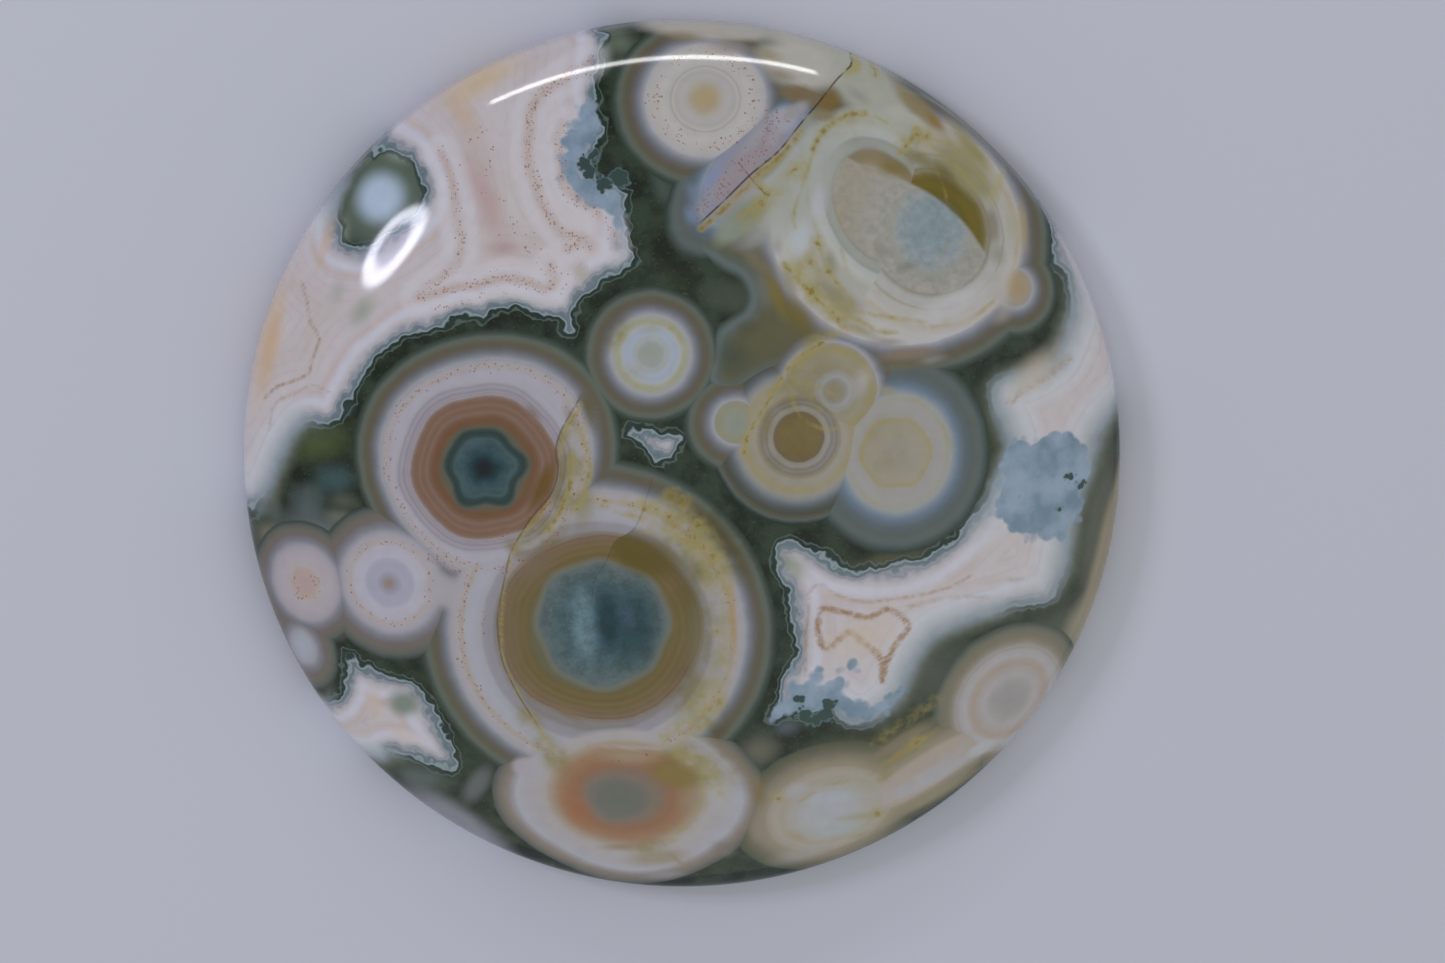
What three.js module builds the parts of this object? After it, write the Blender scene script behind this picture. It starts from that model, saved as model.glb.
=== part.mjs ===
// A round ocean jasper cabochon: one solid piece of orbicular chalcedony, cut with a flat back,
// a small bevel under the edge, a short straight girdle and a low polished dome.
// Millimetres, +Z up. The origin is the centre of the flat back, and the dome faces +Z.
import * as THREE from "three";

// Driving dimensions
const DIAMETER = 45; // across the girdle
const THICKNESS = 7; // from the flat back to the crown of the dome
const BACK_BEVEL = 0.5; // width and height of the 45 degree bevel under the edge
const GIRDLE_HEIGHT = 1; // straight wall above the bevel
const GIRDLE_LEAN_DEG = 5; // the wall leans in towards the dome
const SHOULDER_RADIUS = 1.2; // round between the girdle wall and the dome
const SHOULDER_WIDTH = 0.4; // how far that round reaches in from the top of the wall
const ROUND_SHARE = 0.35; // share of the dome's fall that follows a plain parabola
const EDGE_POWER = 5; // the rest of the fall is held back to the rim by this power

// How finely the round form is faceted
const SECTORS = 96;
const DOME_RINGS = 15;
const SHOULDER_RINGS = 4;

const RADIUS = DIAMETER / 2;

// Height of the dome above its rim, as a share of its full rise: 1 at the crown and 0 at the rim.
// u is the distance from the axis as a share of the dome's radius.
function domeRise(u) {
  return ROUND_SHARE * (1 - u ** 2) + (1 - ROUND_SHARE) * (1 - u ** EDGE_POWER);
}

// The half outline of the stone from the middle of its back, round the edge, to its crown.
// Each point is the distance from the axis and the height.
function cabochonOutline() {
  const lean = THREE.MathUtils.degToRad(GIRDLE_LEAN_DEG);
  const wallFoot = new THREE.Vector2(RADIUS, BACK_BEVEL);
  const wallTop = new THREE.Vector2(
    RADIUS - GIRDLE_HEIGHT * Math.tan(lean),
    BACK_BEVEL + GIRDLE_HEIGHT,
  );

  // The shoulder is an arc that leaves the wall smoothly and ends on the rim of the dome.
  const arcCentre = new THREE.Vector2(
    wallTop.x - SHOULDER_RADIUS * Math.cos(lean),
    wallTop.y - SHOULDER_RADIUS * Math.sin(lean),
  );
  const arcEnd = Math.acos((wallTop.x - SHOULDER_WIDTH - arcCentre.x) / SHOULDER_RADIUS);
  const outline = [
    new THREE.Vector2(0, 0),
    new THREE.Vector2(RADIUS - BACK_BEVEL, 0),
    wallFoot,
  ];
  for (let i = 0; i <= SHOULDER_RINGS; i++) {
    const turn = lean + ((arcEnd - lean) * i) / SHOULDER_RINGS;
    outline.push(
      new THREE.Vector2(
        arcCentre.x + SHOULDER_RADIUS * Math.cos(turn),
        arcCentre.y + SHOULDER_RADIUS * Math.sin(turn),
      ),
    );
  }

  const rim = outline[outline.length - 1];
  const rise = THICKNESS - rim.y;
  for (let i = 1; i <= DOME_RINGS; i++) {
    // A sine spacing puts more rings where the dome turns down to the rim.
    const u = Math.cos((Math.PI / 2) * (i / DOME_RINGS));
    const onAxis = i === DOME_RINGS;
    outline.push(
      new THREE.Vector2(onAxis ? 0 : rim.x * u, rim.y + rise * domeRise(onAxis ? 0 : u)),
    );
  }
  return outline;
}

// The stone: the outline turned about its axis, which three.js lathes about Y, set upright on Z.
function makeStone() {
  const geometry = new THREE.LatheGeometry(cabochonOutline(), SECTORS);
  geometry.rotateX(Math.PI / 2);
  const polished = new THREE.MeshStandardMaterial({
    color: 0xb3aaa0,
    roughness: 0.12,
    metalness: 0,
  });
  const stone = new THREE.Mesh(geometry, polished);
  stone.name = "stone";
  return stone;
}

const cabochon = new THREE.Group();
cabochon.add(makeStone());

export default cabochon;
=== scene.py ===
"""A round ocean jasper cabochon lying on its flat back, seen from above its domed face.

The stone is one mesh, turned from the same outline as its solid. Its markings are bodies in the
stone, given in millimetres: balls of banded chalcedony, seams of white agate, healed fractures and
clouds of stain. Each body gives every point of the mesh a distance or an amount, and the material
turns those into colour. Lengths are in millimetres until a mesh, a light or the camera is made.
"""
import logging
import math
from dataclasses import dataclass, field
from enum import Enum

import bpy
import numpy as np
from mathutils import Matrix


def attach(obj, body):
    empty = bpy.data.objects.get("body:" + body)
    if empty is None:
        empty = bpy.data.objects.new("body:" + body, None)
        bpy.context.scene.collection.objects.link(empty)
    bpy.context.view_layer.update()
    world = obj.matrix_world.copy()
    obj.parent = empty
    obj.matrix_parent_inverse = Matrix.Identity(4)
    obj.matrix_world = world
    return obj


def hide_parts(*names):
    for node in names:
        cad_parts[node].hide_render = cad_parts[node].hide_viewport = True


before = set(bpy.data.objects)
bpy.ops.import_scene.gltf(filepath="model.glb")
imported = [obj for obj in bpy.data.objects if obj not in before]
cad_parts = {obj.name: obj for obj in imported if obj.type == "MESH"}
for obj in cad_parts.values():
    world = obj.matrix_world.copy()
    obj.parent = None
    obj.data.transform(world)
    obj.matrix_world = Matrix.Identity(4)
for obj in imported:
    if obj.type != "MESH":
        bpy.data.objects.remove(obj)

LOG = logging.getLogger("cabochon")
MM = 0.001  # one millimetre in the scene's metres

Colour = tuple[float, float, float]
Point = tuple[float, float]
Place = tuple[float, float, float]
Side = tuple[str, int]
Stop = tuple[float, Colour, float]
Band = tuple[float, int, int, int]
Grid = tuple[np.ndarray, np.ndarray]


def stone_colour(seen: Colour) -> Colour:
    """Turn a colour as it is seen on the polished face into the colour of the stone itself.

    The seen colour is made linear, the even sheen of the polish is taken off it, and the rest is
    divided by how brightly the face is lit. The seen colour still holds the light and shade of its
    place, so each result is the stone's own colour with painted shade in it, such as the darkening
    towards the lower right.

    Args:
        seen: red, green and blue from 0 to 255, as seen.

    Returns:
        The linear colour for a shader.
    """
    sheen = 0.018
    lit = 0.53
    channels = []
    for value in seen:
        share = value / 255.0
        linear = ((share + 0.055) / 1.055) ** 2.4 if share > 0.04045 else share / 12.92
        channels.append(min(max((linear - sheen) / lit, 0.002), 0.92))
    return (channels[0], channels[1], channels[2])


class Hue(Enum):
    """Colours that several parts of the finish share, as seen on the polished face."""

    GROUND_DARK = (32, 42, 37)
    GROUND_LIGHT = (52, 62, 53)
    GROUND_MOSS = (62, 70, 50)
    GROUND_GRAIN = (86, 94, 84)
    RED_DOT = (122, 72, 48)
    RED_BLUSH = (162, 134, 118)
    YELLOW_WASH = (142, 130, 80)
    YELLOW_SPOT = (112, 94, 34)
    CRACK = (62, 48, 22)
    TAN_SEAM = (138, 112, 86)
    SEAM_WHITE = (184, 181, 190)

    def stone(self) -> Colour:
        """Return the linear colour of the stone itself."""
        return stone_colour(self.value)


@dataclass(frozen=True)
class Skin:
    """The clear outer layer of an orb, from its white body to the dark green ground.

    Attributes:
        shades: shares of the skin's width and the seen colour at each, going outwards.
    """

    shades: tuple[Band, ...]

    def stops(self, white: float, width: float) -> list[Stop]:
        """Place the skin's colours outside a white body.

        Args:
            white: radius of the white body.
            width: width of the skin.

        Returns:
            Radius, colour and cover of each stop.
        """
        placed = [(white + share * width, colour, 1.0) for share, *colour in self.shades]
        return placed + [(white + 1.08 * width, placed[-1][1], 0.0)]


class Skins(Enum):
    """The skins that the orbs have."""

    SMOKY = Skin((
        (0.02, 144, 141, 147), (0.1, 128, 129, 138), (0.2, 110, 112, 120), (0.32, 96, 96, 98),
        (0.45, 90, 85, 78), (0.58, 88, 84, 72), (0.7, 90, 92, 82), (0.8, 87, 94, 88), (0.9, 68, 77, 72),
        (1, 54, 63, 57),
    ))
    BLUE = Skin((
        (0.02, 128, 134, 138), (0.1, 112, 122, 135), (0.22, 95, 107, 122), (0.38, 85, 94, 100),
        (0.55, 83, 90, 90), (0.7, 86, 93, 91), (0.8, 82, 92, 91), (0.9, 69, 79, 78), (1, 54, 63, 58),
    ))
    DARK = Skin((
        (0.02, 133, 129, 121), (0.14, 118, 121, 125), (0.27, 98, 103, 108), (0.39, 84, 88, 89),
        (0.51, 75, 78, 76), (0.63, 72, 73, 65), (0.75, 80, 81, 71), (0.86, 84, 88, 83), (0.93, 59, 72, 71),
        (1, 42, 53, 50),
    ))
    TAN = Skin((
        (0.02, 120, 123, 121), (0.12, 102, 105, 107), (0.24, 89, 89, 85), (0.36, 86, 80, 69),
        (0.5, 86, 77, 58), (0.62, 90, 82, 62), (0.72, 97, 94, 84), (0.84, 94, 98, 94), (0.94, 80, 84, 80),
        (1.02, 58, 66, 60),
    ))
    SHELL = Skin((
        (0.02, 141, 137, 133), (0.15, 128, 122, 115), (0.3, 117, 111, 99), (0.45, 110, 104, 92),
        (0.6, 106, 103, 92), (0.75, 98, 98, 88), (0.87, 84, 87, 80), (1, 68, 74, 68),
    ))
    ROSE = Skin((
        (0.02, 141, 137, 147), (0.22, 114, 114, 123), (0.45, 103, 96, 96), (0.67, 99, 95, 88),
        (0.86, 84, 88, 85), (1, 60, 68, 66),
    ))
    DUSK = Skin((
        (0.02, 140, 136, 142), (0.15, 131, 127, 130), (0.3, 124, 116, 112), (0.5, 117, 108, 100),
        (0.7, 104, 101, 96), (0.85, 92, 92, 88), (1, 78, 80, 78),
    ))
    STRAW = Skin((
        (0.02, 133, 124, 111), (0.24, 124, 117, 101), (0.47, 110, 106, 94), (0.65, 98, 94, 80),
        (0.85, 84, 85, 70), (1, 74, 78, 68),
    ))


def turned(places: np.ndarray, centre: Point, size: Point, turn_deg: float) -> Grid:
    """Measure how far places lie along two turned axes from a centre, each axis by its size.

    Args:
        places: one row each, across and up first.
        centre: where the axes cross.
        size: the length that counts as one on each axis.
        turn_deg: turn of the axes, against the clock.

    Returns:
        The two distances of each place.
    """
    turn = math.radians(turn_deg)
    across = places[:, 0] - centre[0]
    up = places[:, 1] - centre[1]
    first = (across * math.cos(turn) + up * math.sin(turn)) / size[0]
    return first, (up * math.cos(turn) - across * math.sin(turn)) / size[1]


@dataclass(frozen=True)
class Dots:
    """A ring of small mineral dots or of stain: its radius, half width and how full it is."""

    radius: float
    half_width: float
    amount: float


@dataclass(frozen=True)
class Orb:
    """A ball of banded chalcedony in the stone.

    Attributes:
        name: plain name, also the name of its distance field.
        centre: where its middle meets the face, seen from above.
        bands: radius and seen colour of each band of its body, from the middle out.
        white: radius of its body.
        skin_width: width of the clear skin outside the body, or how far the body fades if it has
            no skin.
        skin: the skin's colours, or None for a body that lies inside another orb.
        stretch: how much longer it is along its first and second axis.
        turn_deg: turn of the first axis from +X.
        lobes: waves round its outline, as how many, how deep and at what angle in degrees.
        sunk: how far its middle lies below the face.
        red, yellow: its rings of red dots and of yellow stain.
    """

    name: str
    centre: Point
    bands: tuple[Band, ...]
    white: float
    skin_width: float
    skin: Skins | None = None
    stretch: Point = (1.0, 1.0)
    turn_deg: float = 0.0
    lobes: tuple[Place, ...] = ()
    sunk: float = 0.0
    red: tuple[Dots, ...] = ()
    yellow: tuple[Dots, ...] = ()

    def reach(self) -> float:
        """Return the radius past which the orb has no colour."""
        return self.white + 1.15 * self.skin_width

    def radius_at(self, points: np.ndarray, middle_height: float) -> np.ndarray:
        """Measure the distance from the orb's middle, in the units of its own bands.

        The distance is that of an ellipsoid, divided by one plus the sum of its outline's cosine
        waves, so that each band has the orb's own outline.

        Args:
            points: places in the stone, one row each.
            middle_height: height of the face over the orb's centre.

        Returns:
            The distance of each place.
        """
        first, second = turned(points, self.centre, self.stretch, self.turn_deg)
        deep = points[:, 2] - (middle_height - self.sunk)
        bearing = np.arctan2(second, first)
        outline = np.ones(len(points))
        for count, depth, angle in self.lobes:
            outline += depth * np.cos(count * bearing - math.radians(angle))
        return np.sqrt(first ** 2 + second ** 2 + deep ** 2) / outline

    def stops(self) -> list[Stop]:
        """List the radius, seen colour and cover of every stop of the orb's colours.

        Returns:
            The stops, from the middle outwards.
        """
        body = [(radius, colour, 1.0) for radius, *colour in self.bands]
        if self.skin is not None:
            return body + self.skin.value.stops(self.white, self.skin_width)
        last = body[-1][1]
        return body + [(self.white, last, 1.0), (self.white + self.skin_width, last, 0.0)]


@dataclass(frozen=True)
class Outline:
    """A smooth closed or open line through a few points, which curves bend between."""

    points: tuple[Point, ...]
    closed: bool = True
    steps: int = 8

    def line(self) -> np.ndarray:
        """Draw the line: between two points it is the cubic that also heeds their neighbours.

        Returns:
            The points of the line, one row each. A closed line ends where it starts.
        """
        knots = np.array(self.points, dtype=float)
        if self.closed:
            before, after, last = np.roll(knots, 1, 0), np.roll(knots, -1, 0), np.roll(knots, -2, 0)
        else:
            padded = np.vstack((2 * knots[0] - knots[1], knots, 2 * knots[-1] - knots[-2]))
            before, knots, after, last = padded[:-3], padded[1:-2], padded[2:-1], padded[3:]
        share = np.linspace(0.0, 1.0, self.steps, endpoint=False)[None, :, None]
        p0, p1, p2, p3 = (part[:, None, :] for part in (before, knots, after, last))
        curve = 0.5 * (
            2 * p1
            + (p2 - p0) * share
            + (2 * p0 - 5 * p1 + 4 * p2 - p3) * share ** 2
            + (3 * p1 - p0 - 3 * p2 + p3) * share ** 3
        )
        drawn = curve.reshape(-1, 2)
        end = drawn[:1] if self.closed else np.array(self.points[-1:], dtype=float)
        return np.vstack((drawn, end))

    def measure(self, places: np.ndarray) -> tuple[np.ndarray, np.ndarray, np.ndarray]:
        """Measure how far places are from the line, and on which side.

        Args:
            places: places seen from above, one row each.

        Returns:
            The plain distance, the side (+1 to the left of the line's run, -1 to the right) at
            the nearest stretch, and how far along the line that is, from 0 to 1.
        """
        line = self.line()
        nearest = np.full(len(places), np.inf)
        side = np.ones(len(places))
        along = np.zeros(len(places))
        runs = len(line) - 1
        for index in range(runs):
            start, run = line[index], line[index + 1] - line[index]
            offset = places - start
            share = np.clip(offset @ run / max(float(run @ run), 1e-9), 0.0, 1.0)
            gap = np.hypot(*(offset - share[:, None] * run).T)
            closer = gap < nearest
            nearest = np.where(closer, gap, nearest)
            turn = run[0] * offset[:, 1] - run[1] * offset[:, 0]
            side = np.where(closer, np.sign(turn), side)
            along = np.where(closer, (index + share) / runs, along)
        return nearest, side, along

    def inside(self, places: np.ndarray) -> np.ndarray:
        """Measure how deep places lie inside the closed line; outside it the depth is negative.

        A place is inside when a line from it towards +X crosses the outline an odd number of times.

        Args:
            places: one row each.

        Returns:
            The depth of each place.
        """
        line = self.line()
        crossings = np.zeros(len(places), dtype=int)
        for start, stop in zip(line[:-1], line[1:]):
            spans = (start[1] > places[:, 1]) != (stop[1] > places[:, 1])
            rise = stop[1] - start[1]
            slope = (stop[0] - start[0]) / (rise if abs(rise) > 1e-12 else 1e-12)
            crossings += spans & (places[:, 0] < start[0] + (places[:, 1] - start[1]) * slope)
        distance = self.measure(places)[0]
        return np.where(crossings % 2 == 1, distance, -distance)


@dataclass(frozen=True)
class Seam:
    """A line of dots or stain in the stone: its course, half width and how full it is."""

    course: tuple[Point, ...]
    half_width: float
    amount: float


@dataclass(frozen=True)
class Fracture:
    """A healed crack: its name, course, width, how dark its line is and how far along it shows."""

    name: str
    course: tuple[Point, ...]
    half_width: float
    darkness: float
    shown: float = 1.0


@dataclass(frozen=True)
class Patch:
    """A soft-edged oval seen from above: middle, half length and half width, and turn."""

    centre: Point
    size: Point
    turn_deg: float

    def depth(self, places: np.ndarray) -> np.ndarray:
        """Return 1 in the middle, 0 on the edge and less outside, evenly along each radius."""
        return 1.0 - np.hypot(*turned(places, self.centre, self.size, self.turn_deg))


@dataclass(frozen=True)
class Cloud(Patch):
    """A tint: its seen colour, strength, how hard its edge is, and the side of a crack it keeps."""

    colour: Colour
    strength: float
    hardness: float = 1.0
    side: Side | None = None

    def weight(self, places: np.ndarray) -> np.ndarray:
        """Return the tint's weight at each place, falling smoothly to nothing at its edge."""
        return self.strength * smooth(self.depth(places) * self.hardness)


@dataclass(frozen=True)
class Wash(Patch):
    """Clear yellow stain: its strength, and the side of a crack it keeps."""

    strength: float
    side: Side | None = None

    def weight(self, places: np.ndarray) -> np.ndarray:
        """Return the stain's weight at each place, falling smoothly to nothing at its edge."""
        return self.strength * smooth(1.3 * self.depth(places))


def tints(side: Side | None, *rows: tuple) -> tuple[Cloud, ...]:
    """Make the tints on a side of a crack, or on both, each from its other values in order."""
    return tuple(Cloud(*row, side=side) for row in rows)


def smooth(value: np.ndarray) -> np.ndarray:
    """Ease a value from 0 to 1: three times its square less twice its cube, held outside."""
    held = np.clip(value, 0.0, 1.0)
    return held * held * (3.0 - 2.0 * held)


def round_points(radius: np.ndarray | float, bearing: np.ndarray | float) -> np.ndarray:
    """Give the two coordinates of points at a radius and a bearing, one row each."""
    return np.stack((radius * np.cos(bearing), radius * np.sin(bearing)), axis=-1)


def sway(points: np.ndarray, length: float, seed: int) -> np.ndarray:
    """Wander smoothly between about -1 and 1: the mean of six sine waves in random directions.

    Args:
        points: places in the stone, one row each.
        length: wave length.
        seed: picks the directions and the phases.

    Returns:
        The value at each place.
    """
    draw = np.random.default_rng(seed)
    waves = draw.normal(size=(6, 3))
    waves /= np.linalg.norm(waves, axis=1, keepdims=True)
    waves *= 2.0 * math.pi / (length * draw.uniform(0.7, 1.4, size=(6, 1)))
    phases = draw.uniform(0.0, 2.0 * math.pi, size=6)
    return np.sin(points @ waves.T + phases).sum(axis=1) / 3.0


# The orbs whose skins meet the green ground.

ORBS = (
    Orb("sun", (1.2, 18.9), (
        (0, 152, 137, 106), (0.5, 154, 139, 114), (0.7, 154, 143, 126), (0.95, 156, 151, 145),
        (1.2, 158, 155, 154), (1.5, 155, 151, 150), (1.66, 164, 160, 157), (1.75, 150, 146, 146),
        (1.86, 163, 159, 156), (2.2, 166, 164, 163), (2.65, 162, 159, 158), (2.9, 158, 155, 155),
        (3.05, 152, 150, 156),
    ), 3.05, 1.6, Skins.SMOKY, red=(Dots(2.45, 0.3, 0.4),),
        yellow=(Dots(2.62, 0.1, 0.3), Dots(1.86, 0.1, 0.12))),
    Orb("wedge", (3.4, 15.2), (
        (0, 132, 126, 134), (1.7, 131, 127, 137), (2.15, 126, 127, 144), (2.5, 124, 127, 144),
        (2.7, 118, 124, 138),
    ), 2.7, 1.9, Skins.BLUE, stretch=(1.33, 0.66), turn_deg=45, lobes=((1, 0.15, 0),)),
    Orb("heart_bed", (10.8, 12.9), (
        (0, 155, 153, 151), (4.6, 156, 154, 151), (5.4, 164, 162, 159), (6.05, 164, 162, 166),
    ), 6.1, 1.6, Skins.SMOKY, stretch=(1.08, 0.98), lobes=((1, 0.055, 305),),
        yellow=(Dots(5.35, 0.3, 0.35),)),
    Orb("bump", (16.8, 9.3), (
        (0, 148, 131, 100), (0.35, 146, 132, 108), (0.6, 143, 132, 119), (0.9, 138, 131, 124),
    ), 1, 1.45, Skins.SMOKY),
    Orb("moon", (-1.5, 6.3), (
        (0, 134, 137, 132), (0.6, 138, 141, 139), (0.75, 144, 150, 154), (0.92, 146, 151, 152),
        (1.05, 146, 153, 167), (1.25, 144, 151, 166), (1.45, 149, 153, 158), (1.6, 147, 148, 140),
        (1.8, 143, 143, 130), (1.95, 140, 144, 142),
    ), 1.98, 1.42, Skins.SMOKY, yellow=(Dots(1.66, 0.18, 0.8), Dots(0.85, 0.2, 0.45))),
    Orb("flower", (-9.9, 0.5), (
        (0, 140, 136, 146), (4.3, 149, 146, 155), (4.55, 152, 149, 159), (4.85, 152, 149, 160),
        (5, 150, 145, 150), (5.15, 151, 146, 149), (5.3, 146, 143, 149), (5.4, 136, 136, 147),
    ), 5.4, 1.45, Skins.SMOKY, lobes=((1, 0.03, 55), (2, 0.02, 130), (3, 0.04, 120)),
        red=(Dots(5.06, 0.2, 0.5),)),
    Orb("button", (-14.8, -5.6), (
        (0, 130, 112, 106), (0.2, 132, 120, 118), (0.4, 136, 131, 143), (0.7, 148, 145, 162),
        (1.1, 146, 144, 159), (1.25, 150, 147, 162), (1.4, 159, 156, 169), (1.9, 158, 154, 165),
        (2.1, 155, 148, 152), (2.3, 152, 147, 152), (2.55, 146, 142, 152),
    ), 2.6, 1.45, Skins.ROSE, red=(Dots(2.15, 0.16, 0.45),)),
    Orb("blossom", (-19.2, -6), (
        (0, 158, 140, 140), (0.5, 157, 140, 138), (0.75, 158, 143, 138), (0.95, 157, 149, 152),
        (1.5, 155, 147, 155), (1.9, 148, 141, 149),
    ), 2, 1.3, Skins.ROSE, red=(Dots(0.7, 0.25, 0.5),)),
    Orb("pip", (-19.4, -9.5), (
        (0, 150, 152, 170), (0.5, 144, 148, 158),
    ), 0.75, 1.35, Skins.ROSE, stretch=(1, 1.2)),
    Orb("eye", (-4.2, -8), (
        (0, 140, 138, 144), (5.15, 118, 114, 116), (5.35, 130, 126, 132), (5.75, 133, 130, 138),
        (5.9, 146, 144, 153), (6.3, 149, 148, 159), (6.7, 150, 148, 157), (6.86, 149, 141, 136),
        (6.98, 148, 142, 140), (7.1, 151, 147, 152), (7.35, 146, 142, 148),
    ), 7.4, 1.6, Skins.SMOKY, lobes=((1, 0.01, 180),), red=(Dots(6.9, 0.12, 0.3),)),
    Orb("lens", (-2.7, -16.9), (
        (0, 150, 146, 150), (4.6, 150, 145, 148), (5.2, 150, 147, 154), (5.55, 150, 149, 158),
    ), 5.7, 1.1, Skins.DUSK, stretch=(1, 0.82), lobes=((4, 0.03, 0),)),
    Orb("clover_stem", (2.75, 2.85), (
        (0, 124, 126, 116), (0.45, 128, 130, 121), (0.9, 128, 127, 108), (1.05, 124, 126, 120),
    ), 1.12, 1.45, Skins.SMOKY, yellow=(Dots(0.95, 0.14, 0.6),)),
    Orb("clover_top", (7.5, 4.5), (
        (0, 130, 127, 118), (1.3, 134, 127, 110), (1.7, 134, 129, 112), (2.1, 136, 126, 98),
        (2.3, 134, 128, 112),
    ), 2.4, 1.3, Skins.SMOKY, yellow=(Dots(2, 0.16, 0.7),)),
    Orb("clover_left", (5.9, 2.1), (
        (0, 136, 130, 118), (2.1, 141, 134, 122), (2.35, 138, 134, 128), (2.6, 138, 131, 116),
        (2.8, 139, 129, 108), (3, 134, 131, 124),
    ), 3.05, 1.4, Skins.DARK, yellow=(Dots(2.75, 0.14, 0.6),)),
    Orb("clover_right", (10.9, 1.2), (
        (0, 140, 135, 131), (1.9, 141, 138, 136), (2.3, 143, 140, 140), (2.55, 141, 139, 132),
        (2.75, 139, 140, 140),
    ), 2.85, 1.95, Skins.BLUE, stretch=(0.98, 1.06), yellow=(Dots(2.68, 0.13, 0.6),)),
    Orb("shell", (16.8, -12.1), (
        (0, 135, 131, 133), (0.85, 137, 133, 135), (1.15, 143, 138, 138), (1.5, 149, 145, 148),
        (1.85, 148, 140, 139), (2.1, 147, 134, 127), (2.3, 148, 137, 132), (2.55, 151, 147, 150),
        (2.85, 147, 143, 146), (3, 138, 132, 131),
    ), 3.05, 1.25, Skins.SHELL, yellow=(Dots(2.15, 0.12, 0.12),)),
    Orb("ribbon", (12.4, -15.9), (
        (0, 149, 146, 152), (0.7, 150, 142, 140), (1.05, 148, 136, 126),
    ), 1.2, 1.3, Skins.STRAW, stretch=(3.6, 1), turn_deg=31),
    Orb("pearl", (7.6, -17.8), (
        (0, 148, 150, 157), (1, 149, 149, 154), (1.6, 147, 144, 141), (2.1, 143, 137, 127),
        (2.35, 146, 139, 131), (2.7, 139, 132, 121),
    ), 2.75, 1.35, Skins.STRAW, stretch=(1.22, 1), turn_deg=12),
    # These show on the girdle or the back alone.
    Orb("back_east", (8.5, 4), (
        (0, 60, 78, 84), (1, 128, 100, 76), (1.6, 150, 146, 150), (3.4, 150, 140, 134),
    ), 3.7, 1.4, Skins.SMOKY, sunk=7),
    Orb("back_west", (-9, -2), (
        (0, 118, 94, 76), (0.8, 134, 128, 140), (1.8, 152, 148, 156), (3.2, 154, 144, 138),
    ), 3.6, 1.4, Skins.SMOKY, sunk=7.2),
    Orb("back_north", (-2, 12), (
        (0, 136, 124, 104), (1.2, 152, 148, 150), (2.4, 146, 142, 150),
    ), 2.6, 1.3, Skins.BLUE, sunk=6),
    Orb("back_south", (3, -9.5), (
        (0, 140, 118, 84), (0.7, 150, 146, 150), (1.9, 150, 138, 128),
    ), 2.4, 1.2, Skins.TAN, sunk=6.4),
)

# Bodies that lie inside those orbs. Each group is laid over what came before it.

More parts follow.
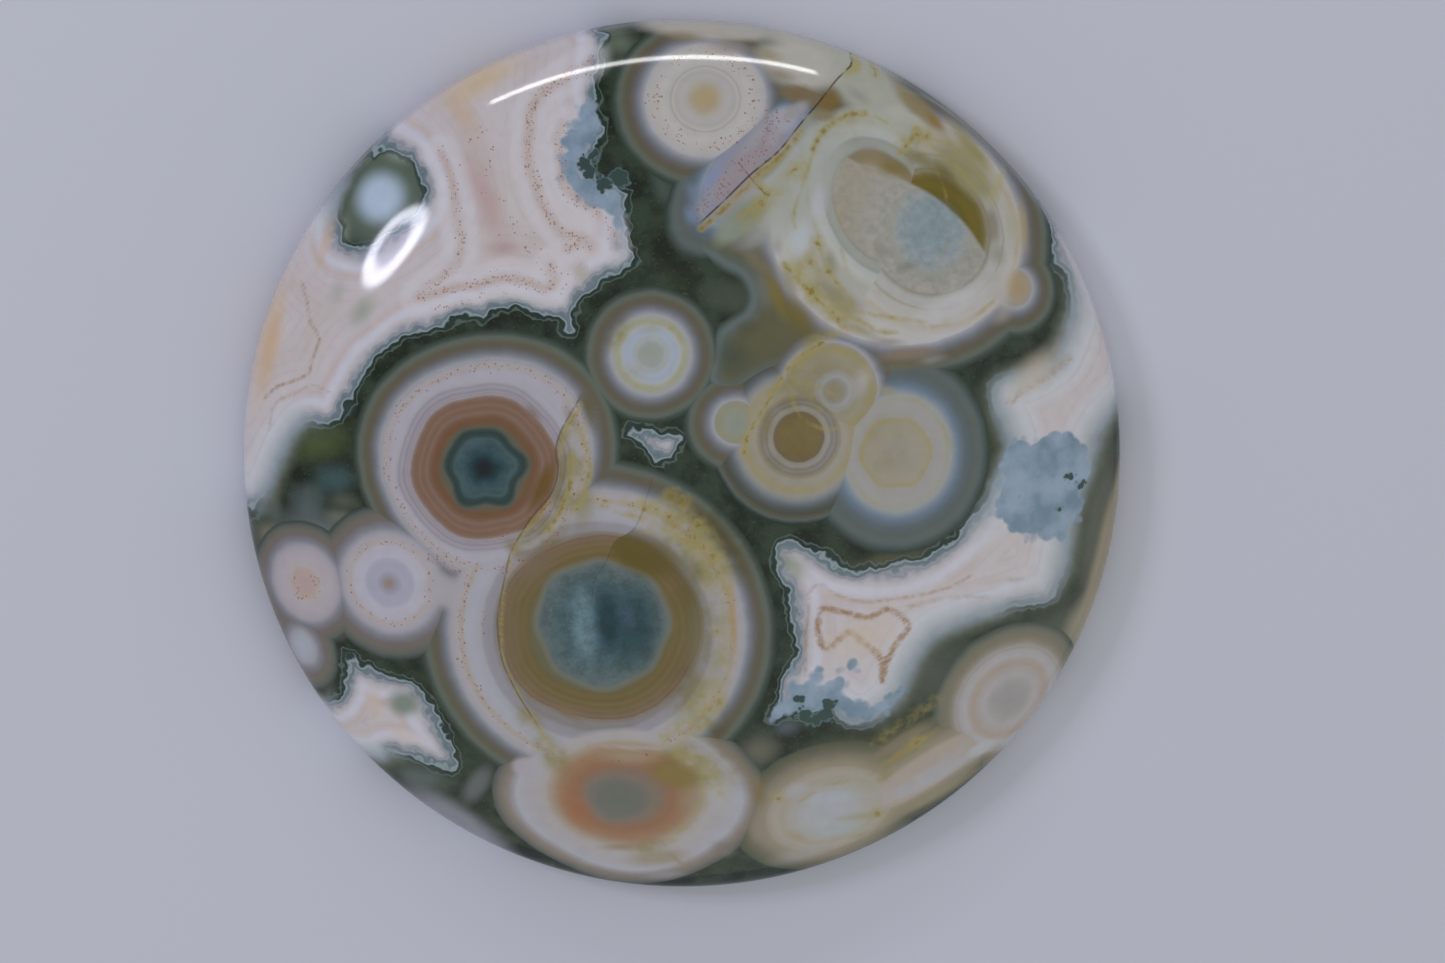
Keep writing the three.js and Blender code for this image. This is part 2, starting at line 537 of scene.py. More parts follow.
CORES = (
    (Orb("heart_left", (9.9, 13.7), (
        (0, 140, 134, 118), (1.5, 138, 128, 108), (1.9, 124, 112, 88), (2.15, 120, 108, 88),
        (2.22, 118, 114, 104), (2.36, 138, 140, 134), (2.6, 138, 140, 136), (2.72, 134, 136, 134),
        (2.86, 156, 158, 158), (3.15, 160, 161, 157), (3.5, 153, 152, 147), (3.9, 152, 152, 150),
    ), 3.9, 0.35, stretch=(1, 1.3), turn_deg=20, lobes=((3, 0.015, 40),), yellow=(Dots(3.5, 0.16, 0.55),)),
    Orb("heart_right", (12.55, 12.35), (
        (0, 92, 90, 60), (1.5, 94, 92, 74), (1.9, 92, 84, 42), (2.3, 100, 89, 42), (2.65, 98, 88, 46),
        (2.9, 106, 97, 62), (3.02, 120, 112, 84), (3.12, 128, 122, 106), (3.2, 118, 113, 98),
        (3.34, 144, 142, 137), (3.5, 154, 153, 152), (3.85, 153, 152, 150), (3.95, 142, 139, 130),
        (4.08, 157, 154, 150), (4.6, 162, 158, 156), (4.8, 160, 152, 142),
    ), 4.8, 0.4, lobes=((1, 0.02, 250),), yellow=(Dots(4.75, 0.16, 0.5), Dots(3.95, 0.2, 0.3))),),
    (Orb("flower_disc", (-9.9, 0.5), (
        (0, 84, 86, 78), (2.1, 88, 86, 74), (2.22, 98, 82, 66), (2.4, 102, 76, 58), (2.6, 104, 78, 62),
        (2.75, 110, 86, 74), (2.88, 117, 96, 86), (3, 112, 90, 79), (3.12, 113, 89, 75),
        (3.24, 118, 96, 86), (3.38, 113, 88, 74), (3.58, 115, 94, 84), (3.68, 126, 111, 108),
        (3.76, 141, 133, 138), (3.84, 134, 127, 135), (3.92, 139, 133, 142), (4.02, 129, 123, 133),
        (4.14, 143, 138, 147), (4.28, 134, 129, 138), (4.4, 149, 145, 154), (4.56, 152, 149, 159),
    ), 4.6, 0.2, lobes=((6, 0.018, 60), (2, 0.01, 40))),),
    (Orb("flower_star", (-9.9, 0.5), (
        (0, 18, 31, 36), (0.35, 26, 42, 47), (0.6, 38, 57, 62), (0.95, 52, 72, 78), (1.3, 62, 79, 84),
        (1.52, 66, 83, 86), (1.66, 52, 66, 68), (1.85, 48, 60, 60), (1.98, 62, 70, 66), (2.08, 82, 84, 76),
    ), 2.1, 0.15, lobes=((6, 0.06, 20), (5, 0.05, 80), (3, 0.03, 10))),),
    (Orb("eye_ring", (-4.2, -7.75), (
        (0, 96, 92, 76), (3.45, 94, 90, 72), (3.7, 97, 87, 60), (3.9, 102, 90, 61), (4.1, 98, 86, 58),
        (4.3, 106, 93, 65), (4.45, 102, 88, 62), (4.65, 108, 93, 70), (4.8, 105, 90, 69),
        (4.98, 112, 95, 79), (5.1, 105, 91, 78), (5.2, 119, 109, 100),
    ), 5.25, 0.15, stretch=(1, 0.94), lobes=((5, 0.012, 30),)),),
    (Orb("eye_core", (-4, -7.5), (
        (0, 54, 72, 82), (0.9, 56, 76, 84), (1.5, 66, 86, 93), (2.2, 71, 88, 92), (2.8, 78, 90, 93),
        (3.1, 86, 96, 97), (3.28, 98, 102, 96), (3.42, 100, 98, 84),
    ), 3.42, 0.14, lobes=((8, 0.022, 10), (3, 0.025, 60))),),
    (Orb("lens_ring", (-2.9, -16.75), (
        (0, 108, 101, 94), (1.7, 114, 100, 92), (2.1, 124, 98, 82), (2.5, 129, 97, 76), (2.9, 133, 102, 80),
        (3.3, 137, 110, 88), (3.5, 140, 118, 100), (3.7, 143, 127, 114), (3.9, 146, 134, 124),
        (4.1, 150, 143, 143), (4.5, 151, 146, 149),
    ), 4.5, 0.4, stretch=(1, 0.8)),),
    (Orb("lens_core", (-3.2, -16.9), (
        (0, 95, 97, 90), (1, 98, 98, 93), (1.4, 103, 100, 94), (1.75, 114, 102, 92),
    ), 1.8, 0.35, stretch=(1, 0.78), lobes=((3, 0.03, 20),)),),
    (Orb("clover_disc", (10.8, 1.25), (
        (0, 140, 134, 128), (1.5, 141, 135, 122), (1.7, 142, 134, 112),
    ), 1.78, 0.12, lobes=((6, 0.03, 15),), yellow=(Dots(1.76, 0.12, 0.75),)),),
    (Orb("clover_eye", (5.9, 2.1), (
        (0, 107, 95, 66), (0.7, 111, 97, 66), (1.1, 106, 93, 68), (1.25, 104, 92, 76),
        (1.34, 130, 126, 120), (1.52, 136, 132, 130), (1.66, 116, 112, 108), (1.8, 126, 122, 118),
        (1.9, 116, 111, 104), (2.05, 128, 122, 110),
    ), 2.08, 0.12),
    Orb("clover_bud", (7.75, 4.4), (
        (0, 128, 121, 106), (0.42, 130, 124, 113), (0.56, 130, 128, 126), (0.74, 141, 141, 144),
        (0.9, 136, 134, 132),
    ), 0.98, 0.15),),
)

# White and rosy agate between the orbs, seen from above.

AGATE = (
    (
        (-3.9, 24.5), (-3.9, 22.6), (-4.1, 20.9), (-4.4, 19.6), (-4.2, 18.3), (-4.1, 17.2), (-4.4, 16.5),
        (-4.7, 15.7), (-4.3, 15.1), (-3.5, 14.7), (-3.1, 14.2), (-2.85, 13.6), (-2.85, 12.6), (-2.85, 11.7),
        (-2.35, 11.1), (-3, 10.7), (-4.1, 10), (-4.9, 9.4), (-5.3, 8.4), (-5.6, 7.4), (-6, 8.2),
        (-7.1, 8.4), (-8.1, 8.6), (-9.3, 8.6), (-9.9, 8.1), (-10.9, 8.3), (-11.6, 7.9), (-12.9, 7.5),
        (-14, 7.1), (-14.85, 6.4), (-15.7, 5.65), (-16.3, 4.8), (-16.8, 3.9), (-17.2, 3.05), (-17.7, 2.4),
        (-18.8, 2.6), (-19.4, 2.2), (-20, 1.3), (-20.7, -0.1), (-21.1, -1.1), (-21.6, -1.9), (-22.3, -2.8),
        (-24, -3.2), (-26, 8), (-20, 20), (-12, 25),
    ),
    (
        (18.4, 13.8), (18.85, 12.5), (19, 10.6), (19.85, 8.8), (19.8, 7.5), (18.9, 5.7), (17.6, 5),
        (16.3, 4.8), (15.75, 4.1), (16, 3), (16.6, 1.6), (16.3, 0.4), (15.5, -1.2), (14.6, -2.4),
        (13.7, -3.25), (12.6, -4.1), (11, -4.7), (9.4, -4.8), (8, -4.5), (6.8, -3.8), (6, -3.4),
        (4.9, -3.5), (5.1, -4.9), (5.6, -6.2), (5.8, -8.2), (5.6, -9.7), (5, -11.3), (4.5, -12),
        (4.9, -12.4), (5.5, -12.1), (6.7, -12.2), (7.5, -11.9), (8.2, -12.5), (9.3, -12.7), (10.2, -12.3),
        (10.9, -11.6), (11.3, -10.7), (12, -9.3), (13, -8.2), (14.6, -7.6), (16.6, -7.1), (17.8, -6.8),
        (18.8, -6.8), (19.4, -5.6), (19.6, -4.2), (19.9, -2.4), (20.8, 0.2), (21.2, 1.6), (22, 2.6),
        (23.5, 4), (24, 8), (22, 14),
    ),
    (
        (-17, -9.7), (-16.2, -10.2), (-15.5, -10.6), (-14.5, -10.7), (-13.7, -10.9), (-13.3, -11.6),
        (-13, -12.3), (-12.6, -13), (-12.1, -13.7), (-11.8, -14.4), (-11.6, -15.3), (-12.4, -15.5),
        (-13.2, -15.2), (-14, -14.9), (-15, -14.9), (-16, -15.4), (-20, -15.4), (-19.6, -12.9),
        (-18.1, -12.6), (-17.5, -11.8), (-17.2, -11),
    ),
    (
        (-2.7, 2.3), (-2, 2.45), (-1.2, 2.3), (-0.5, 2.3), (-0.1, 1.9), (-0.3, 1.2), (-0.9, 1), (-1.5, 1.5),
        (-2.1, 1.9),
    ),
)

# How fast each of those veins whitens going in.

AGATE_SLOPES = (1, 0.8, 0.9, 1)

# The green pocket in the agate near the upper left edge.

POCKETS = (
    (
        (-17.5, 13.3), (-17.5, 12.4), (-17.3, 11.4), (-16.7, 11.2), (-15.8, 11.4), (-14.9, 11.8),
        (-13.9, 12.6), (-13.2, 13.1), (-12.8, 13.8), (-12.9, 14.6), (-13.3, 15.4), (-13.8, 16),
        (-14.3, 16.2), (-14.9, 16.3), (-15.7, 15.9), (-16.4, 15.3), (-17, 14.4),
    ),
)

# Clear blue-grey chalcedony within the agate.

BLUE = (
    (
        (-4.8, 18.7), (-5.4, 18), (-5.9, 16.7), (-6.1, 15.7), (-5.8, 14.5), (-4.9, 13.7), (-3.8, 13.3),
        (-3.3, 12.6), (-2.8, 11.7), (-2.95, 13), (-3.15, 14.1), (-3.9, 14.8), (-4.8, 15.5), (-4.4, 16.6),
        (-4, 17.5), (-4.2, 18.6),
    ),
    (
        (16.3, 1.5), (17.6, 1.7), (19, 2.2), (20.4, 1.4), (20.7, 0), (20.4, -1.4), (20.2, -2.7),
        (19.5, -3.6), (18, -3.6), (16.4, -2.7), (15.65, -1.7), (16.15, -0.3),
    ),
    (
        (4.4, -12.4), (5.2, -11.3), (5.5, -9.9), (6, -10.6), (6.9, -9.6), (7.2, -10.6), (8, -10.2),
        (8.4, -11), (9, -11.6), (9.8, -11.9), (10.6, -11.5), (11.4, -11.1), (10.6, -12.2), (9.3, -12.7),
        (8.2, -12.5), (7.5, -11.9), (6.5, -12.2), (5.5, -12.2), (4.8, -12.7),
    ),
    ((8.2, -9.7), (8.5, -9.45), (8.8, -9.7), (8.75, -10.15), (8.4, -10.25), (8.15, -10)),
)

# Small dark green bodies in the clear parts: middle and radius.

GREEN_SPOTS = (
    ((-4.75, 15.75), 0.42), ((-4.55, 15.3), 0.36), ((-3.9, 14.75), 0.42), ((-3.05, 15), 0.5),
    ((-4.3, 16.2), 0.3), ((19.7, -0.4), 0.28), ((20.3, -0.9), 0.24), ((19.2, -2), 0.15),
    ((17.1, -1.3), 0.1), ((5.95, -11.5), 0.34), ((7.5, -11.75), 0.42), ((7.3, -12.3), 0.45),
    ((6.3, -12.4), 0.45), ((6.8, -12.6), 0.4),
)

# Brown-grey clear chalcedony between the wedge, the heart and the clover.

HAZE = (
    (
        (0.9, 11.6), (1.6, 11.1), (2.2, 10.7), (3.05, 10.3), (3.45, 9.6), (3.5, 9), (3.2, 8.4), (2.5, 7.9),
        (1.9, 7.3), (1.7, 6.1), (1.5, 5), (2.6, 4.4), (4.6, 5.4), (7.7, 6.2), (9, 8), (6.2, 12), (4, 12.8),
        (1.4, 12.4),
    ),
    (
        (4.6, 18.4), (5, 20.6), (6.6, 21), (9.4, 20.6), (10, 18.4), (8, 17.4), (6.2, 17.2),
    ),
)

# Seams of red dots in the agate.

RED_SEAMS = (
    Seam(((-12.1, 16), (-11.6, 15), (-11.3, 13.8), (-11.2, 12.6), (-11, 11.8), (-11.3, 10.8), (-12.3, 9.8),
          (-13.2, 9)), 0.2, 0.5),
    Seam(((-13.2, 9), (-11.4, 9.5), (-9.9, 9.8), (-8.8, 10.1), (-7.7, 9.9), (-6.8, 9.5), (-6.4, 10),
          (-6.5, 10.7)), 0.2, 0.6),
    Seam(((-4.6, 20.6), (-6.4, 19.5), (-7.4, 18.5), (-7.6, 17.2), (-7.7, 15.8), (-7.3, 14.8), (-7, 13.8),
          (-6.4, 12.9), (-5.8, 12.3), (-4.9, 12.1), (-4.5, 11.7)), 0.22, 0.7),
    Seam(((-5.7, 11.6), (-5.1, 11.8), (-4.5, 11.7)), 0.2, 0.6),
    Seam(((-5.9, 17.7), (-6.2, 16.9), (-6, 15.9), (-5.9, 14.7), (-5.2, 14), (-4.4, 13.6), (-3.7, 12.7),
          (-3.4, 11.7)), 0.22, 0.45),
    Seam(((-12.6, 8.4), (-10.7, 8.8), (-9.1, 9.4), (-7.7, 9.1), (-6.6, 8.9), (-5.8, 9.6),
          (-5.5, 10.3)), 0.14, 0.35),
    Seam(((-10.1, 17.2), (-9.6, 14.8), (-8.2, 12.4), (-7.2, 11.2)), 0.5, 0.12),
)

# Red dots in the lilac beside the north crack and round the eye.

LILAC_SEAMS = (
    Seam(((0.9, 13.4), (1.4, 14), (2.2, 14.7), (2.9, 15.4), (3.6, 16), (4.2, 16.6), (4.3, 17.2),
          (4.4, 17.9)), 0.4, 0.5),
    Seam(((5, 18), (5.5, 18.2)), 0.25, 0.3),
    Seam(((-12.7, -4.1), (-11.6, -4.8), (-10.9, -5.3), (-11.2, -7.6), (-11.1, -9.5),
          (-10.2, -11.3)), 0.16, 0.5),
    Seam(((-10, -6.8), (-10.1, -8.5)), 0.1, 0.4),
)

TAN_SEAMS = (
    Seam(((6.9, -7.4), (7.1, -6.7), (8.1, -6.9), (9.5, -7.2), (10.5, -6.8), (11.5, -7.7), (10.9, -8.6),
          (10.4, -9.6), (10.2, -10.6)), 0.19, 1),
    Seam(((10.2, -10.6), (10, -9.4), (9, -8.4), (8.4, -8), (7.3, -8.8), (6.9, -8), (6.9, -7.4)), 0.22, 1),
    Seam(((6.3, -10.2), (6.3, -8.4), (6.4, -6.8), (6.5, -5.8), (7.1, -5.5), (7.8, -6), (9.1, -6.4),
          (10.5, -6.3), (13.2, -5.9), (14.7, -5.2)), 0.14, 0.6),
    Seam(((11.5, -6.7), (13.6, -6.3), (15.6, -6.4)), 0.18, 0.5),
    Seam(((16.6, -5.5), (17.6, -5.6)), 0.2, 0.5),
    Seam(((16.6, 3.6), (17.6, 4.4), (18.6, 4.9), (19.6, 5.6)), 0.3, 0.6),
    Seam(((17.6, 4.9), (18.6, 5.8), (19.4, 7)), 0.3, 0.4),
    Seam(((-19.2, 9.4), (-18.9, 8.4), (-18.7, 7.4), (-18.3, 6.6), (-18.7, 5.6), (-18.9, 4.9), (-19.8, 4.4),
          (-20.6, 4), (-21.2, 3.4)), 0.13, 0.75),
    Seam(((-17.8, 4), (-18.7, 4.3), (-19.6, 3.8), (-20.6, 3.2), (-21, 1.8)), 0.13, 0.5),
    Seam(((-14.2, -11.2), (-15.2, -12), (-16.2, -13.4)), 0.3, 0.4),
)

# Olive and yellow stain that has crept along cracks.

YELLOW_SEAMS = (
    Seam(((1, 12.6), (2.2, 13.6), (3.6, 14.9), (4.9, 16.1), (6, 17.2)), 0.26, 0.95),
    Seam(((3.6, 14.9), (4.2, 14.4), (3.9, 13.8), (3, 13.2)), 0.26, 0.8),
    Seam(((6.6, 16.4), (6.9, 16.9), (7.5, 17.5), (8.4, 18), (9.3, 18.1)), 0.22, 1.05),
    Seam(((11.9, 17.2), (11.4, 16.5), (10.9, 16.1)), 0.2, 0.9),
    Seam(((12.6, 16.4), (13.9, 15.3), (14.9, 14)), 0.16, 0.7),
    Seam(((3.4, 12.8), (4.7, 14.3), (5.9, 15.8)), 0.7, 0.5),
    Seam(((9.2, 19.9), (10.6, 19), (12.2, 17.8)), 0.4, 0.3),
    Seam(((5.8, 10.6), (6.8, 9), (8.3, 7.9)), 0.6, 0.55),
    Seam(((-2.6, -1.2), (0.3, -1.9), (1.9, -4), (2.4, -7.4), (2, -9.4)), 0.6, 0.6),
    Seam(((1.6, -10.6), (0.6, -12.4), (-0.8, -13.4)), 0.7, 0.6),
    Seam(((-0.2, -14.3), (1.3, -15.2), (2, -16.6)), 0.6, 0.55),
    Seam(((6.4, 6.6), (7.4, 7.2), (8.8, 7.6)), 0.4, 0.6),
    Seam(((13.4, 16.5), (14.7, 15.4), (15.5, 14.2)), 0.12, 0.6),
    Seam(((8, 8.9), (9.4, 8.3), (10.8, 8), (12.2, 7.8)), 0.16, 0.7),
    Seam(((-5.2, 2.6), (-4.7, 1.4), (-4.6, 0.2), (-4.9, -0.6)), 0.2, 0.8),
    Seam(((8.3, 18), (9.4, 18), (10.4, 17.6), (11.3, 16.6)), 0.12, 0.6),
    Seam(((6.7, 16.5), (6.1, 14.8), (5.7, 13.6), (5.6, 13), (5.7, 12.6)), 0.13, 0.8),
    Seam(((5.2, 10.8), (5.9, 10), (6.6, 9.3), (7.5, 8.3), (8.2, 7.6)), 0.2, 0.95),
    Seam(((6.8, 11.9), (7.4, 10.5), (8.2, 9.5), (8.6, 8.9)), 0.14, 0.75),
    Seam(((7.6, 8.1), (8.8, 8), (9.8, 7.4), (10.8, 7.3)), 0.18, 0.8),
    Seam(((-5, 3.8), (-5.8, 2.5), (-6.1, 1.2)), 0.15, 0.9),
    Seam(((-6.6, -1.2), (-7.4, -2.2), (-8.1, -3.1), (-8.7, -4.4)), 0.14, 0.9),
    Seam(((-5.5, 1.2), (-5.6, -0.4), (-5.8, -1), (-6.2, -1.9), (-6.7, -2.7)), 0.17, 1.1),
    Seam(((-4.9, 2.6), (-4.7, 0.9), (-4.9, -0.9), (-5.4, -1.8)), 0.16, 0.8),
    Seam(((-3.2, -1.6), (-1.6, -2.2), (0.2, -3.2), (1.4, -4.6), (2.1, -6.4), (2.3, -8.2)), 0.3, 0.7),
    Seam(((-2.2, -2.6), (-0.6, -3), (0.8, -4.2), (1.6, -6)), 0.22, 0.6),
    Seam(((2.5, -9.6), (2.1, -11.4), (1.2, -12.8), (-0.2, -13.8)), 0.35, 0.5),
    Seam(((1.2, -15.4), (0.9, -17.6), (-0.6, -19.4)), 0.4, 0.5),
    Seam(((-8.6, -4.4), (-9, -6.1), (-9.1, -8), (-8.9, -9.8), (-7.9, -11.9)), 0.13, 0.8),
    Seam(((-7.8, -12.1), (-7.1, -13.3), (-6.5, -14.2)), 0.3, 0.7),
    Seam(((7.1, 6.9), (5.6, 5.9), (4.5, 4.1), (3.4, 2.3), (3.1, 1.2)), 0.17, 1),
    Seam(((6.4, 4.9), (6.6, 3.9), (7, 3.4)), 0.2, 0.55),
    Seam(((4.2, 3.6), (3.6, 1.6), (4.2, 0.2), (5.2, -0.5)), 0.22, 0.5),
    Seam(((9.9, -13.9), (11.6, -12.7), (13, -11.8)), 0.5, 0.5),
)

FRACTURES = (
    Fracture(
        "crack_west",
        ((-4.8, 4.4), (-5.2, 3.9), (-6, 2.5), (-6.3, 1.4), (-6.2, 0.4), (-6.5, -0.7),
         (-7.5, -2), (-8.2, -3.1), (-8.6, -3.9), (-8.8, -4.8), (-9.1, -6.1), (-9.3, -7.2),
         (-9.2, -8.5), (-9, -9.7), (-8.5, -10.8), (-7.9, -11.9), (-7.2, -13.1),
         (-6.5, -14), (-5.2, -17.4), (-3.2, -20)),
        0.035, 0.5, 0.86,
    ),
    Fracture(
        "crack_north",
        ((0.7, 12.65), (2, 13.8), (3.4, 15.1), (4.7, 16.2), (5.8, 17.4), (6.6, 18.3),
         (7.9, 19.7), (8.9, 20.6), (9.4, 21.1)),
        0.036, 0.85,
    ),
    Fracture("crack_spur", ((2.9, 15.8), (3.5, 15.1), (4.3, 14.2)), 0.03, 0.45),
    Fracture(
        "crack_east",
        ((-1.4, 0.2), (-1.6, -0.6), (-2.3, -2.4), (-3.3, -3.2), (-3.8, -4.3), (-4.4, -5.2),
         (-4.5, -6.4)),
        0.03, 0.25,
    ),
)

# The sides of the cracks that tints and stains keep to.

LEFT_OF_NORTH: Side = ("crack_north", 1)
RIGHT_OF_NORTH: Side = ("crack_north", -1)
LEFT_OF_EAST: Side = ("crack_east", 1)
LEFT_OF_WEST: Side = ("crack_west", 1)

# Soft tints in the ground, below the orbs.

GROUND_CLOUDS = tints(
    None,
    ((-16.9, 3.2), (0.8, 0.5), 40, (66, 78, 82), 0.8),
    ((-18.4, 1.5), (2.2, 1.6), 30, (72, 80, 56), 0.95),
    ((-17.6, -0.4), (1.6, 1.3), 10, (62, 80, 84), 0.9),
    ((-17, -1.5), (1.2, 0.8), 0, (80, 84, 76), 0.8),
    ((-19, -1.6), (1.5, 1.3), 0, (84, 94, 96), 0.7),
    ((-21, -1.9), (0.9, 1.4), 10, (92, 98, 98), 0.9),
    ((-18.3, -3.2), (3.6, 1.6), -10, (98, 106, 108), 0.85),
    ((-21.6, -3.4), (2, 1.8), 0, (72, 78, 74), 0.7),
    ((12.8, -10.4), (3.6, 3), 20, (78, 83, 76), 0.8),
    ((19, -8.6), (3.6, 2), 30, (80, 84, 74), 0.8),
    ((21.3, -3.2), (1.3, 5.6), -9, (82, 85, 77), 0.9, 1.4),
    ((-2, 9.6), (1.4, 1), 20, (44, 54, 46), 0.7),
    ((-17.8, -8.4), (1.1, 0.8), 0, (114, 100, 91), 0.9),
    ((-20.9, -3.8), (1.1, 1.1), 0, (124, 114, 99), 0.9),
    ((-11.4, -19), (4.6, 1.35), -38, (122, 122, 132), 0.95, 1.4),
    ((20.6, -8.4), (1.3, 2.6), -25, (130, 125, 111), 0.9, 1.3),
    ((10.4, -4.4), (3.4, 0.9), 12, (86, 84, 66), 0.8),
    ((8.4, -14.4), (4, 1.4), 10, (84, 84, 66), 0.7),
    ((2.4, 9.2), (2.2, 1.3), -10, (66, 73, 64), 0.9, 1.3),
    ((-3.1, 21.5), (1.5, 1.1), -10, (92, 101, 88), 0.95),
    ((-4, 20.9), (0.7, 1.2), 0, (134, 142, 138), 0.9),
    ((-0.9, 14.6), (0.9, 1.5), 20, (74, 85, 81), 0.8),
    ((3.9, -14.2), (1.6, 1.3), 0, (98, 96, 86), 0.85),
    ((5.3, -13), (1.1, 0.7), 0, (82, 90, 98), 0.8),
    # The grey-green of the pocket, lighter at its corners.
    ((-15.2, 13.8), (3.6, 3.4), 0, (86, 97, 88), 0.95, 1.8),
    ((-14, 16), (1.5, 0.7), 0, (122, 131, 123), 0.85, 1.3),
    ((-17.2, 12), (0.7, 1.2), 0, (122, 128, 120), 0.85),
    ((-13.4, -16.2), (2.4, 1.2), -10, (86, 95, 94), 0.85),
    ((-10.5, -16.4), (2, 0.8), 59, (90, 95, 95), 0.95, 1.3),
    ((-17.4, -2.3), (1.1, 0.6), 0, (98, 100, 93), 0.9),
    ((-21.6, -2.2), (0.8, 0.8), 0, (119, 129, 138), 0.95),
)

